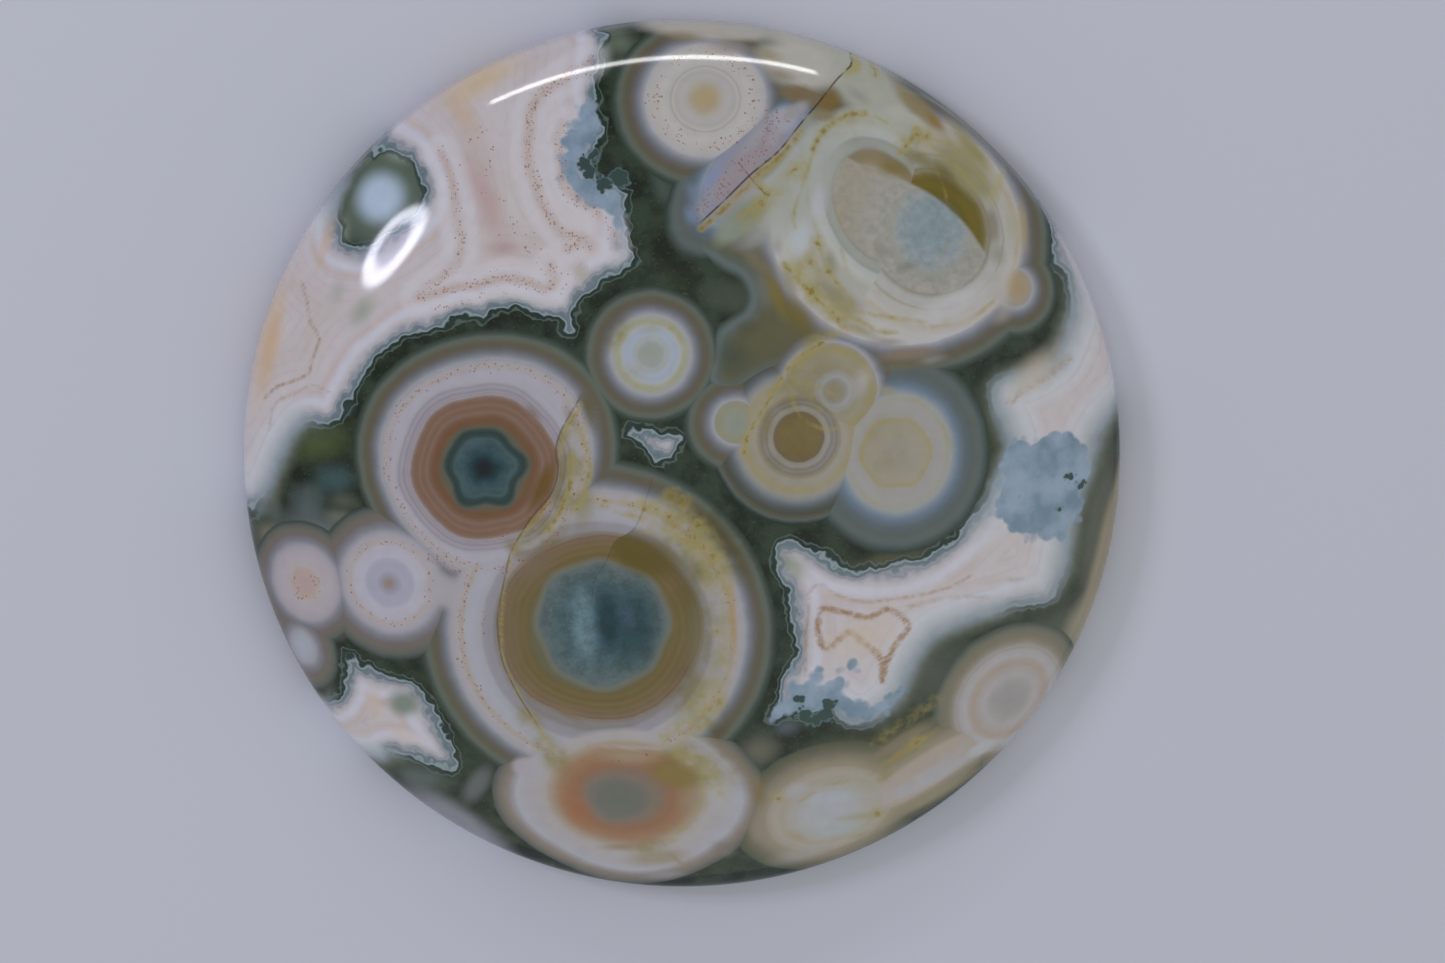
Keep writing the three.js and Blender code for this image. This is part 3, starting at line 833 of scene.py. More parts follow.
CLOUDS = tints(
    None,
    # Rosy and peach agate at the upper left.
    ((-9.8, 14), (4.1, 1), -68, (164, 141, 142), 0.9),
    ((-8.9, 11.5), (1.3, 0.5), 4, (158, 134, 135), 0.9),
    ((-11, 18), (1.9, 1), -60, (172, 152, 138), 0.85),
    ((-10, 19.6), (3.4, 1), 32, (176, 157, 132), 0.9),
    ((-20.9, 6.2), (4.6, 0.8), 77, (176, 151, 126), 0.95),
    ((-18, 11.4), (2.2, 0.45), 74, (172, 150, 132), 0.7),
    ((-16.1, 8.2), (0.75, 1.4), -38, (136, 142, 130), 0.85),
    ((-17.4, 9), (0.6, 1.1), -20, (150, 151, 146), 0.7),
    ((-5, 10.4), (0.5, 0.5), 0, (156, 152, 144), 0.8, 2),
    ((-15.15, 13.75), (1.8, 1.55), 40, (157, 170, 190), 1, 1.5),
    # Straw-coloured agate with grey at the left end of the lower right seam.
    ((5.7, -4.5), (1.3, 0.7), -45, (130, 134, 120), 0.8),
    # Grey and green in the lower left agate.
    ((-14.2, -12.1), (1.15, 1), 0, (106, 117, 106), 0.92, 1.3),
    ((-15.7, -12.2), (0.7, 1.6), 10, (176, 162, 152), 0.7),
    ((-14.2, -13.9), (1.4, 0.6), -20, (180, 166, 158), 0.6),
    # Rosy white where the button, the flower and the eye meet.
    ((-11.9, -5.9), (1.4, 1.1), -30, (149, 145, 151), 0.95, 1.8),
    # Cream right of the north crack.
    ((3.7, 12), (1.3, 0.5), 30, (112, 114, 114), 0.8),
    ((4.8, 11.7), (0.5, 0.7), 0, (137, 133, 130), 0.8),
    # Brown round the haze, gold below the heart, and the top edge.
    ((3.3, 11.9), (1.3, 0.45), 20, (108, 107, 107), 0.8, 1.3),
    ((3.9, 10.9), (1.3, 0.6), -30, (104, 100, 84), 0.85, 1.2),
    ((4.15, 9.6), (0.6, 1.5), 12, (100, 101, 92), 0.85, 1.2),
    ((4.75, 9.3), (0.55, 1.9), 20, (112, 99, 56), 0.85, 1.2),
    ((5.4, 9.9), (0.5, 1.6), 20, (130, 125, 108), 0.8, 1.2),
    ((5.9, 8.2), (1.8, 0.9), -50, (102, 91, 50), 0.9),
    ((3.3, 7.6), (0.9, 0.7), 20, (76, 76, 61), 0.8),
    ((7.4, 9.6), (1.4, 0.6), -35, (126, 121, 104), 0.75),
    ((8.6, 8.9), (1, 0.5), -25, (128, 126, 118), 0.7),
    ((10.2, 17.7), (1.3, 0.5), -25, (164, 166, 158), 0.85, 1.2),
    ((2.6, 6.2), (1.5, 1.3), -30, (66, 71, 62), 0.75),
    ((7.4, 21.3), (3.8, 1.3), -16, (159, 155, 145), 0.97, 2),
    ((1.6, 22.2), (5.5, 0.7), -4, (160, 155, 148), 0.9, 2),
    ((2.4, 21.3), (1.7, 0.4), -6, (135, 124, 115), 0.8),
    ((0.1, 21.8), (1.3, 0.4), -3, (124, 113, 94), 0.85),
    ((7.3, 21.5), (1.5, 0.45), -16, (154, 138, 110), 0.9),
    ((9.5, 19.2), (3.6, 1.7), -38, (150, 151, 142), 0.97, 2),
    ((5.9, 20.4), (2.7, 1.35), -18, (161, 158, 152), 0.97, 2),
    ((5, 20), (1.2, 0.4), -16, (124, 116, 102), 0.85),
    ((8.9, 18.9), (1.1, 0.4), -30, (130, 129, 118), 0.7),
    ((4.4, 20.9), (1.1, 0.5), -14, (138, 128, 110), 0.9),
    ((6.1, 18.95), (1.6, 0.6), -20, (110, 98, 79), 0.97, 2.2),
    ((5.9, 19.2), (0.6, 0.35), 20, (111, 94, 68), 0.7),
    ((12.1, 18.1), (2.5, 0.55), -44, (124, 112, 84), 0.9, 1.6),
    ((12.8, 17.5), (0.9, 0.35), -40, (124, 98, 50), 0.8),
    ((10.9, 18), (0.9, 0.6), -30, (160, 158, 150), 0.8),
    # Olive-brown lines at the heart's upper right, and its brown upper left.
    ((14.4, 15.1), (2.7, 1.1), -47, (129, 124, 94), 0.9, 1.6),
    ((15.9, 14.2), (0.45, 1.4), -25, (148, 142, 110), 0.7, 1.3),
    ((13.3, 15.9), (1, 0.3), -40, (122, 122, 106), 0.7),
    ((14.9, 15.9), (0.9, 0.3), -45, (117, 113, 72), 0.8),
    ((15.7, 12.4), (0.5, 1.3), 10, (121, 113, 100), 0.85, 1.4),
    ((15.9, 11), (0.6, 0.8), 20, (131, 129, 117), 0.8),
    ((9.4, 16.2), (0.9, 0.5), 10, (124, 115, 96), 0.7),
    ((10.7, 15.4), (1.4, 0.6), -12, (112, 101, 64), 0.95),
    ((7.5, 10.9), (0.5, 0.9), 20, (122, 120, 99), 0.8),
    ((8.9, 7.5), (1.9, 0.45), -28, (134, 127, 108), 0.85),
    ((10.4, 6.8), (1.3, 0.35), -5, (130, 123, 117), 0.85),
    ((-2.3, 5.4), (0.9, 0.4), -30, (142, 141, 127), 0.8),
    ((-1.5, 7.6), (0.8, 0.35), 0, (142, 140, 130), 0.75),
    # Whites below the heart, and its tan lower skin.
    ((5.9, 12), (0.8, 1.4), -12, (162, 166, 172), 0.9, 1.3),
    ((13.6, 8.6), (3.2, 0.9), 22, (168, 165, 168), 0.85, 1.3),
    ((11.4, 6.2), (2.2, 0.5), 5, (120, 107, 92), 0.85, 1.3),
    ((12.6, 5.9), (1.2, 0.35), 12, (121, 123, 121), 0.8),
    ((16.2, 8), (0.9, 0.6), 35, (137, 131, 128), 0.8),
    ((10.9, 5.6), (1.6, 0.35), 5, (102, 95, 76), 0.8),
    # Dark smudges in the milky heart.
    ((11.4, 10.55), (0.8, 0.4), 20, (113, 113, 107), 0.7),
    ((9.97, 11.43), (0.5, 0.7), 10, (123, 123, 112), 0.7),
    # Pale upper end of the wedge and the glow at its left.
    ((12, 15.8), (1.5, 0.5), -30, (113, 107, 74), 0.85, 1.3),
    ((13.2, 15.1), (1.2, 0.5), -45, (103, 95, 66), 0.9),
    ((14.6, 16.3), (2.4, 0.6), -46, (131, 123, 87), 0.9, 1.2),
    # Painted reflection: a darker blue-grey place where the round lamp's reflection has its dim middle.
    ((-15.9, 11), (1.1, 0.6), 45, (118, 124, 138), 0.7),
    # Blue beside the start of the north crack.
    ((0.65, 14.35), (0.5, 0.9), 35, (103, 114, 132), 0.8),
    ((0.5, 13.3), (0.5, 0.7), 20, (104, 118, 147), 0.85),
    ((1.5, 15), (0.5, 1.3), -45, (118, 128, 156), 0.8),
    # Warm streak right of the heart.
    ((17.3, 12.2), (2, 0.35), 94, (150, 132, 92), 0.8),
    ((16.7, 12.6), (2.6, 0.6), 98, (146, 138, 118), 0.6),
    # The white of the heart runs round the bump.
    ((15.9, 9.3), (0.8, 1.5), 25, (158, 154, 152), 0.9, 1.3),
    ((17, 9.4), (0.8, 1.1), 15, (147, 130, 104), 0.85),
    # Olive in the eye's ring right of its crack, brown left of it.
    ((0.3, -5.8), (1.1, 2.2), 15, (86, 78, 46), 0.7),
    ((-7.3, -4.4), (2.4, 1.1), 55, (108, 94, 80), 0.7),
    ((-8.5, -7.9), (0.8, 3.4), 2, (106, 92, 72), 0.7),
    ((0.5, -8), (0.7, 3), 0, (92, 86, 58), 0.7),
    ((0.8, -4.7), (1.5, 0.6), -50, (103, 98, 70), 0.75),
    ((-7, -0.4), (2, 0.55), 66, (95, 72, 40), 0.9, 1.3),
    ((-4.65, 3.25), (1.6, 0.5), -72, (92, 86, 68), 0.9),
    ((-8.4, -3.6), (1, 0.6), -45, (117, 105, 83), 0.85),
    ((-7.4, 3.3), (0.9, 0.35), -48, (110, 97, 92), 0.85),
    ((-5.5, 3.1), (1.2, 0.4), -62, (116, 110, 88), 0.8),
    ((-4.75, 3.8), (0.9, 0.5), -60, (90, 83, 60), 0.9),
    ((-5.8, -12.2), (1.3, 0.4), -35, (112, 99, 76), 0.8),
    ((10.3, 4.4), (0.8, 0.4), -20, (139, 128, 102), 0.8),
    # Gold in the clover's upper left, white at its top's right.
    ((6.6, 7), (1.4, 0.5), 32, (113, 108, 74), 0.8),
    ((4.35, 2.8), (0.5, 1.2), -12, (114, 105, 73), 0.8),
    ((9.1, 4.9), (0.7, 1.3), -20, (151, 148, 147), 0.8),
    # Dark streak and light patch in the blue eye.
    ((-2.4, -7.6), (1.8, 2.9), 0, (44, 64, 69), 0.9, 1.3),
    ((-3.7, -7.2), (0.75, 2.5), 4, (36, 56, 62), 0.85, 1.3),
    ((-4.95, -7.7), (0.95, 2.9), 3, (92, 114, 121), 0.9, 1.3),
    ((-2.7, -7.2), (0.8, 1), 10, (66, 80, 97), 0.7),
    ((0.9, -8.2), (0.9, 3), 0, (112, 107, 88), 0.4),
    # Orange line right of the eye.
    ((2.6, -7.2), (0.3, 3.2), 3, (152, 127, 104), 0.85),
    # Orange and olive in the lens.
    ((-5.3, -17.6), (1, 1.7), 25, (140, 92, 68), 0.75),
    ((-2.8, -14.5), (2.4, 0.7), -4, (140, 128, 112), 0.75),
    ((-2.6, -14), (2.8, 0.2), -2, (156, 152, 152), 0.7),
    ((-0.3, -15.6), (1.9, 1), -18, (116, 103, 62), 0.9, 1.3),
    ((-1.2, -20.4), (2.4, 0.75), 6, (134, 124, 109), 0.9, 1.3),
    ((-3.2, -19.75), (1.5, 0.35), 6, (131, 110, 94), 0.85),
    ((-0.2, -20.6), (1.1, 0.18), -50, (130, 112, 86), 0.7),
    ((-1, -21.5), (1.6, 0.4), 4, (130, 126, 134), 0.9),
    ((-8, -15.3), (0.9, 0.7), -20, (150, 145, 153), 0.95, 1.8),
    ((2.1, -19.9), (1, 0.7), -20, (110, 104, 98), 0.85),
    ((0.6, -17), (1.2, 1.2), 0, (132, 122, 104), 0.6),
    ((2, -16.5), (1, 1.5), 0, (154, 156, 162), 0.75),
    ((3.9, -16.5), (0.6, 1.3), 8, (116, 101, 70), 0.85),
    ((4, -18.7), (0.7, 1.1), 0, (131, 119, 108), 0.8),
    # Brown chalcedony along the right edge.
    ((21.85, -4.5), (0.9, 7.4), -14, (132, 123, 108), 0.9, 1.8),
    ((8.2, 8.6), (1.7, 0.6), -35, (128, 120, 90), 0.7),
    # Bands of the long seam at the lower right.
    ((12.4, -15.4), (3.8, 0.5), 33, (150, 138, 130), 0.9, 1.5),
    ((11.2, -14), (2.8, 0.6), 34, (117, 109, 90), 0.9, 1.5),
    ((11.5, -14.5), (2.8, 0.36), 34, (130, 117, 80), 0.9, 1.5),
    ((12.9, -16.2), (3.9, 0.5), 27, (149, 146, 152), 0.9, 1.5),
    ((15.3, -14.8), (1, 0.5), 30, (155, 158, 165), 0.9, 1.5),
    ((12.9, -17.3), (3.8, 0.42), 28, (124, 117, 98), 0.9, 1.5),
    ((7.6, -17), (1.7, 0.55), 4, (151, 153, 161), 0.9, 1.3),
    ((5.9, -16.5), (0.9, 0.5), 25, (149, 146, 150), 0.9, 1.3),
    ((7.9, -16.15), (1.2, 0.2), 4, (141, 125, 94), 0.75),
    ((6.4, -16.9), (0.9, 0.2), 36, (143, 126, 100), 0.75),
    ((9.3, -18.2), (2.1, 0.3), 3, (136, 131, 104), 0.8),
    ((8, -18.9), (1.8, 0.5), 6, (144, 149, 153), 0.85, 1.3),
    ((5.9, -19.3), (1, 0.35), -28, (146, 128, 106), 0.85),
    ((6.4, -20.3), (2.6, 0.8), 15, (142, 137, 136), 0.7),
    ((9.9, -17.2), (1, 0.8), 30, (149, 143, 138), 0.9, 1.2),
    ((10.4, -15.9), (0.9, 0.35), 40, (134, 122, 88), 0.7),
    # Cream in the long vein at the right.
    ((9.2, -8.2), (2.8, 1.5), 10, (176, 162, 148), 0.6),
    ((17.8, 5), (2.4, 1.2), 40, (176, 165, 152), 0.6),
    ((9.2, -19.4), (0.9, 0.25), 14, (131, 125, 104), 0.7),
) + tints(
    LEFT_OF_NORTH,
    ((3.75, 17.1), (1.7, 0.5), 55, (140, 138, 145), 0.85, 1.2),
    ((5.15, 17.9), (0.95, 0.8), 40, (146, 145, 155), 0.95, 1.8),
    ((5.8, 18.3), (0.9, 0.5), 30, (138, 136, 140), 0.95, 1.6),
    ((4.6, 17), (0.8, 0.45), 60, (140, 138, 145), 0.8, 1.3),
) + tints(
    RIGHT_OF_NORTH,
    ((5.6, 14.8), (4.6, 2.2), 52, (147, 149, 145), 0.9, 1.8),
    ((3, 13), (2.2, 0.9), 42, (124, 129, 118), 0.95, 2),
    ((3.5, 13.4), (1.4, 0.6), 30, (116, 113, 80), 0.6),
    ((4.9, 14.2), (1, 0.8), 50, (145, 146, 139), 0.9, 1.5),
    ((6.9, 13.8), (0.6, 1.3), -8, (158, 160, 166), 0.85, 1.2),
    ((7.4, 18.7), (0.9, 0.8), 20, (111, 92, 58), 0.92, 1.4),
    ((8.8, 20.3), (1.1, 0.5), 30, (144, 135, 94), 0.9, 1.3),
    ((6.2, 17.8), (0.9, 0.5), 40, (132, 130, 120), 0.9, 1.4),
    ((7.1, 18), (0.9, 0.45), -5, (122, 112, 88), 0.9, 1.4),
    ((4.6, 15.6), (1.6, 0.3), 45, (122, 119, 84), 0.7, 1.3),
) + tints(
    LEFT_OF_EAST,
    ((-2, -3.8), (3, 1.4), -28, (86, 75, 38), 0.85, 1.6),
)

# Places where the edge of the agate runs smooth instead of scalloped.

CALM = (
    Patch((19.4, 1), (6.5, 11), 0), Patch((12.4, -9.6), (7.4, 4.6), 20),
    Patch((-20.4, 0.6), (3.4, 5), 20), Patch((-15.8, -15.6), (3.6, 1.5), -20),
    Patch((-19.2, -11.8), (1.8, 2.2), 0), Patch((-17.9, 14.2), (1.7, 4), -30),
)

# Blots of olive-yellow stain: middle and radius.

YELLOW_BLOTS = (
    ((5.6, 15.45), 0.16), ((6.1, 15.15), 0.12), ((4.3, 14.35), 0.19), ((4, 13.85), 0.19),
    ((6.8, 11.8), 0.17), ((7.4, 10.4), 0.17), ((6.6, 9.4), 0.22), ((7.5, 8.3), 0.17),
    ((11.9, 16.95), 0.16), ((12.4, 16.8), 0.12), ((11.3, 16.5), 0.12), ((6.5, 10.9), 0.17),
    ((9.9, 20), 0.16), ((-3.8, -1.3), 0.16), ((-1.8, -1.5), 0.19), ((-1.3, -1.6), 0.13),
    ((-0.6, -1.95), 0.16), ((-0.3, -2.4), 0.17), ((0.7, -3), 0.17), ((1.1, -3.5), 0.17),
    ((1.6, -4), 0.16), ((1.2, -5.2), 0.1), ((1.35, -5.6), 0.12), ((1.8, -7.8), 0.13),
    ((1.9, -11.5), 0.19), ((1.5, -11.95), 0.17), ((-0.5, -0.9), 0.29), ((0.1, -1.2), 0.25),
    ((0.9, -2.4), 0.22), ((10, -18.15), 0.19), ((12, -14.1), 0.22), ((5, -16.9), 0.14),
)

# Clear yellow stain that deepens the colours below it.

AMBER = (
    Wash((-5.6, 0.4), (1.5, 4.3), 14, 0.85, LEFT_OF_WEST),
    Wash((1, -3.4), (3.7, 2.5), -42, 1),
    Wash((1.6, -7.8), (1.5, 4.6), 0, 0.55),
    Wash((0.8, -11.8), (2, 3.4), 15, 0.8),
    Wash((0.8, -15.1), (3.4, 1.7), -12, 0.9, LEFT_OF_WEST),
    Wash((-7.7, -12.6), (0.9, 1.6), 30, 0.6),
    Wash((-1.8, -19.7), (1.8, 0.7), 5, 0.75),
    Wash((-7, -2.8), (2, 1.2), 40, 0.9),
    Wash((-6.3, -1), (0.9, 1.8), 0, 0.6),
    Wash((-3.2, 7.4), (0.8, 1.4), -30, 0.6),
    Wash((-6.6, -14.3), (1.1, 1.9), 30, 0.85),
    Wash((4.6, 13.4), (1.4, 3.2), -35, 0.25),
    Wash((7.6, 17.6), (2.6, 1.4), -10, 0.45, RIGHT_OF_NORTH),
    Wash((7, 9.7), (3.2, 1.5), -50, 0.85),
    Wash((12.9, 15.8), (4, 1.35), -40, 0.75),
    Wash((6.2, 4.2), (2.6, 3.2), -35, 0.45),
    Wash((5.2, 1.2), (2.6, 2.6), 0, 0.3),
    Wash((10.2, 1.6), (2.2, 2.4), 0, 0.25),
)

# The line below which the heart is milky.

MILKY_OUTLINE = ((7, 16.4), (8.9, 15.7), (9.9, 15.5), (11.2, 14.8), (12.5, 14.05), (13.6, 13.2),
        (14.6, 12.2), (15.5, 10.8), (16.3, 9.4), (12, 7), (8, 8.5), (6, 13))


@dataclass
class CabochonForm:
    """The turned form of the stone: the sizes of its outline, and how finely it is meshed.

    Attributes are in millimetres. The face has rings of eight more points each, so that its
    grid has no pole, and the flat back has half as many rings.
    """

    diameter: float = 45.0
    thickness: float = 7.0
    back_bevel: float = 0.5
    girdle_height: float = 1.0
    girdle_lean_deg: float = 5.0
    shoulder_radius: float = 1.2
    shoulder_width: float = 0.4
    round_share: float = 0.35
    edge_power: float = 5.0
    rings: int = 136
    back_rings: int = 68

    def wall_top(self) -> Point:
        """Return the distance from the axis and the height of the top of the girdle's wall."""
        lean = math.tan(math.radians(self.girdle_lean_deg))
        return self.diameter / 2 - self.girdle_height * lean, self.back_bevel + self.girdle_height

    def shoulder(self, count: int) -> np.ndarray:
        """Trace the round between wall and dome: an arc that leaves the wall smoothly.

        Args:
            count: how many points the arc has.

        Returns:
            Distance from the axis and height, from the dome down to the wall.
        """
        lean = math.radians(self.girdle_lean_deg)
        top = self.wall_top()
        middle = np.array(top) - round_points(self.shoulder_radius, lean)
        reach = (top[0] - self.shoulder_width - middle[0]) / self.shoulder_radius
        return middle + round_points(self.shoulder_radius, np.linspace(math.acos(reach), lean, count))

    def dome_height(self, distance: np.ndarray) -> np.ndarray:
        """Give the height of the dome: a parabola mixed with a higher power of the distance.

        Args:
            distance: from the axis.

        Returns:
            The height at each distance.
        """
        rim = self.shoulder(2)[0]
        share = np.clip(distance / rim[0], 0.0, 1.0)
        rise = self.round_share * (1 - share ** 2) + (1 - self.round_share) * (1 - share ** self.edge_power)
        return rim[1] + (self.thickness - rim[1]) * rise

    def outline(self) -> np.ndarray:
        """Trace the outline from the crown to the foot of the girdle, one point for each ring.

        Returns:
            Distance from the axis and height, rings + 1 rows.
        """
        arc = self.shoulder(7)
        top = np.array(self.wall_top())
        foot = np.array((self.diameter / 2, self.back_bevel))
        wall = top + (foot - top) * np.linspace(0.0, 1.0, 5)[1:, None]
        dome_rings = self.rings - (len(arc) - 1) - len(wall)
        fine = np.linspace(0.0, arc[0][0], 4000)
        heights = self.dome_height(fine)
        travel = np.concatenate(([0.0], np.cumsum(np.hypot(np.diff(fine), np.diff(heights)))))
        even = np.interp(np.linspace(0.0, travel[-1], dome_rings + 1), travel, fine)
        dome = np.stack((even, self.dome_height(even)), axis=1)
        return np.vstack((dome, arc[1:], wall))

    @staticmethod
    def disc_grid(rings: int) -> Grid:
        """Bend a square grid into a disc: the square rings of the grid become circles.

        Args:
            rings: how many rings lie round the middle point.

        Returns:
            The ring number and the bearing of each point of the grid, row by row.
        """
        steps = np.arange(-rings, rings + 1)
        across, up = (part.ravel().astype(float) for part in np.meshgrid(steps, steps))
        wide = np.abs(across) > np.abs(up)
        longer = np.where(wide, across, up)
        shorter = np.where(wide, up, across)
        lean = (math.pi / 4) * shorter / np.where(longer == 0, 1.0, longer)
        bearing = np.where(wide, lean, math.pi / 2 - lean)
        bearing = np.where(longer < 0, bearing + math.pi, bearing)
        return np.abs(longer).astype(int), bearing

    @staticmethod
    def grid_faces(rings: int) -> np.ndarray:
        """List the four corners of every cell of the grid, seen from above against the clock.

        Args:
            rings: how many rings lie round the middle point.

        Returns:
            Four point numbers for each cell.
        """
        side = 2 * rings + 1
        corner = np.arange(side * side).reshape(side, side)[:-1, :-1].ravel()
        return np.stack((corner, corner + 1, corner + side + 1, corner + side), axis=1)

    def mesh_arrays(self) -> tuple[np.ndarray, np.ndarray, np.ndarray, np.ndarray]:
        """Work out the closed surface of the stone.

        The face grid takes its points' distance and height from the outline, ring by ring. The
        back grid is a flat disc. A strip of triangles joins the last rings of both.

        Returns:
            Points in millimetres, the four-cornered faces, the three-cornered faces, and the flat
            picture of the surface on a unit square, one pair for each corner of each face.
        """
        ring, bearing = self.disc_grid(self.rings)
        trace = self.outline()
        face = np.column_stack((round_points(trace[ring, 0], bearing), trace[ring, 1]))
        back_ring, back_bearing = self.disc_grid(self.back_rings)
        back_radius = (self.diameter / 2 - self.back_bevel) * back_ring / self.back_rings
        back = np.pad(round_points(back_radius, back_bearing), ((0, 0), (0, 1)))
        points = np.vstack((face, back))
        quads = np.vstack(
            (self.grid_faces(self.rings), self.grid_faces(self.back_rings)[:, ::-1] + len(face))
        )

        turn = 2 * math.pi
        outer = np.flatnonzero(ring == self.rings)
        outer = outer[np.argsort(np.round(bearing[outer] % turn, 9))]
        inner = np.flatnonzero(back_ring == self.back_rings)
        inner = inner[np.argsort(np.round(back_bearing[inner] % turn, 9))] + len(face)
        first, middle, last = outer[0::2], outer[1::2], np.roll(outer, -1)[1::2]
        near, far = inner, np.roll(inner, -1)
        corners = ((first, near, middle), (middle, near, far), (middle, far, last))
        strip = np.vstack([np.stack(corner, axis=1) for corner in corners])
        flat = self.flat_picture((ring, bearing), (back_ring, back_bearing), quads, strip)
        return points, quads, strip, flat

    def flat_picture(self, face: Grid, back: Grid, quads: np.ndarray, strip: np.ndarray) -> np.ndarray:
        """Lay the face and the back side by side on a unit square, as two discs.

        On each disc a point's distance from the middle is its way over the surface, so nothing is
        squeezed at the edge. The strip belongs to the back.

        Args:
            face, back: ring number and bearing of the points of each.
            quads: four-cornered faces.
            strip: three-cornered faces.

        Returns:
            One pair for each corner, of the quads first and then of the strip.
        """
        (ring, bearing), (back_ring, back_bearing) = face, back
        face_radius, back_radius, margin = 0.362, 0.212, 0.006
        trace = self.outline()
        travel = np.concatenate(([0.0], np.cumsum(np.hypot(*np.diff(trace, axis=0).T))))
        share = face_radius * travel[ring] / travel[-1]
        place = face_radius + margin
        on_face = place + round_points(share, bearing)

        bevel = math.hypot(self.back_bevel, self.back_bevel)
        edge = self.diameter / 2 - self.back_bevel
        scale = back_radius / (edge + bevel)
        spot = 1.0 - back_radius - margin
        back_share = scale * edge * back_ring / self.back_rings
        on_back = spot + round_points(back_share, back_bearing)
        rim = spot + round_points(back_radius, bearing)
        usual = np.vstack((on_face, on_back))
        edged = np.vstack((rim, on_back))
        return np.vstack((usual[quads.ravel()], edged[strip.ravel()]))


@dataclass
class JasperPattern:
    """Measures every body of the stone at every point of its mesh."""

    form: CabochonForm
    orbs: tuple[Orb, ...] = ORBS
    cores: tuple[tuple[Orb, ...], ...] = CORES
    smoky_cores: tuple[tuple[str, float], ...] = (("eye_core", 3.35), ("flower_star", 1.7))
    lean_across: float = 0.35
    lean_up: float = -0.25
    crack_fade: float = 0.06

    def middle_height(self, orb: Orb) -> float:
        """Return the height of the face over an orb's centre."""
        return float(self.form.dome_height(np.array([math.hypot(*orb.centre)]))[0])

    def radius_of(self, orb: Orb, points: np.ndarray) -> np.ndarray:
        """Measure an orb's radius at every point, a little unsteady as in grown stone."""
        unsteady = 0.012 * orb.white * sway(points, 2.2 * max(orb.white, 0.8), len(orb.name) + 3)
        return orb.radius_at(points, self.middle_height(orb)) + unsteady

    def seen_from_above(self, points: np.ndarray) -> np.ndarray:
        """Drop points to the plan of the face: bodies lean, so deeper points are shifted.

        Args:
            points: places in the stone, one row each.

        Returns:
            Two columns, one row for each point.
        """
        plan = points[:, :2].copy()
        radius = np.hypot(plan[:, 0], plan[:, 1])
        below = self.form.dome_height(radius) - points[:, 2]
        below = np.where(radius > self.form.diameter / 2 - 0.6, np.minimum(below, 0.8), below)
        plan[:, 0] += self.lean_across * below
        plan[:, 1] += self.lean_up * below
        return plan

    def deepest(self, outlines: tuple[tuple[Point, ...], ...], plan: np.ndarray) -> np.ndarray:
        """Measure how deep points lie in the nearest of several outlines, negative outside."""
        return np.maximum.reduce([Outline(line).inside(plan) for line in outlines])

    def agate_depth(self, plan: np.ndarray) -> np.ndarray:
        """Measure how deep points lie in the agate, each vein's inside by its own slope.

        Args:
            plan: the places, as they are seen from above.

        Returns:
            The depth of each place, negative outside.
        """
        depths = []
        for line, slope in zip(AGATE, AGATE_SLOPES):
            depth = Outline(line).inside(plan)
            depths.append(np.where(depth > 0.0, slope * depth, depth))
        return np.minimum(np.maximum.reduce(depths), -self.deepest(POCKETS, plan))

    def in_spots(self, spots: tuple[tuple[Point, float], ...], plan: np.ndarray) -> np.ndarray:
        """Measure how deep points lie in the nearest of several round spots, negative outside."""
        return np.maximum.reduce([size - np.hypot(*(plan - np.array(place)).T) for place, size in spots])

    def seam_amount(self, seams: tuple[Seam, ...], plan: np.ndarray) -> np.ndarray:
        """Return the amount of the fullest seam at each point, bell-shaped across the seam.

        Args:
            seams: the seams.
            plan: the places, as they are seen from above.

        Returns:
            The amount at each place.
        """
        amounts = [np.zeros(len(plan))]
        for seam in seams:
            gap = Outline(seam.course, closed=False).measure(plan)[0]
            amounts.append(seam.amount * np.exp(-((gap / seam.half_width) ** 2)))
        return np.maximum.reduce(amounts)

    def ring_amount(self, kind: str, points: np.ndarray) -> np.ndarray:
        """Return the amount of an orb's dotted rings at each point.

        Args:
            kind: red or yellow.
            points: places in the stone, one row each.

        Returns:
            The largest amount over all rings of that kind.
        """
        amounts = [np.zeros(len(points))]
        for orb in self.orbs + tuple(core for group in self.cores for core in group):
            rings = orb.red if kind == "red" else orb.yellow
            if not rings:
                continue
            radius = self.radius_of(orb, points)
            patchy = 0.75 + 0.35 * sway(points, 2.0, 40 + len(orb.name))
            for ring in rings:
                band = np.exp(-(((radius - ring.radius) / ring.half_width) ** 2))
                amounts.append(ring.amount * band * np.clip(patchy, 0.0, 1.2))
        return np.maximum.reduce(amounts)

    def blended(self, clouds: list[Cloud], plan: np.ndarray) -> np.ndarray:
        """Lay clouds over each other: each one covers those before it by its weight.

        Args:
            clouds: in the order in which they are laid.
            plan: the places, as they are seen from above.

        Returns:
            Red, green, blue and cover at each point.
        """
        colour = np.zeros((len(plan), 3))
        cover = np.zeros(len(plan))
        for cloud in clouds:
            weight = cloud.weight(plan)
            paint = np.array(stone_colour(cloud.colour))
            kept = cover * (1.0 - weight)
            total = (kept + weight)[:, None]
            mixed = (colour * kept[:, None] + paint * weight[:, None]) / np.maximum(total, 1e-6)
            colour = np.where(total > 1e-6, mixed, paint)
            cover = kept + weight
        return np.column_stack((colour, cover))

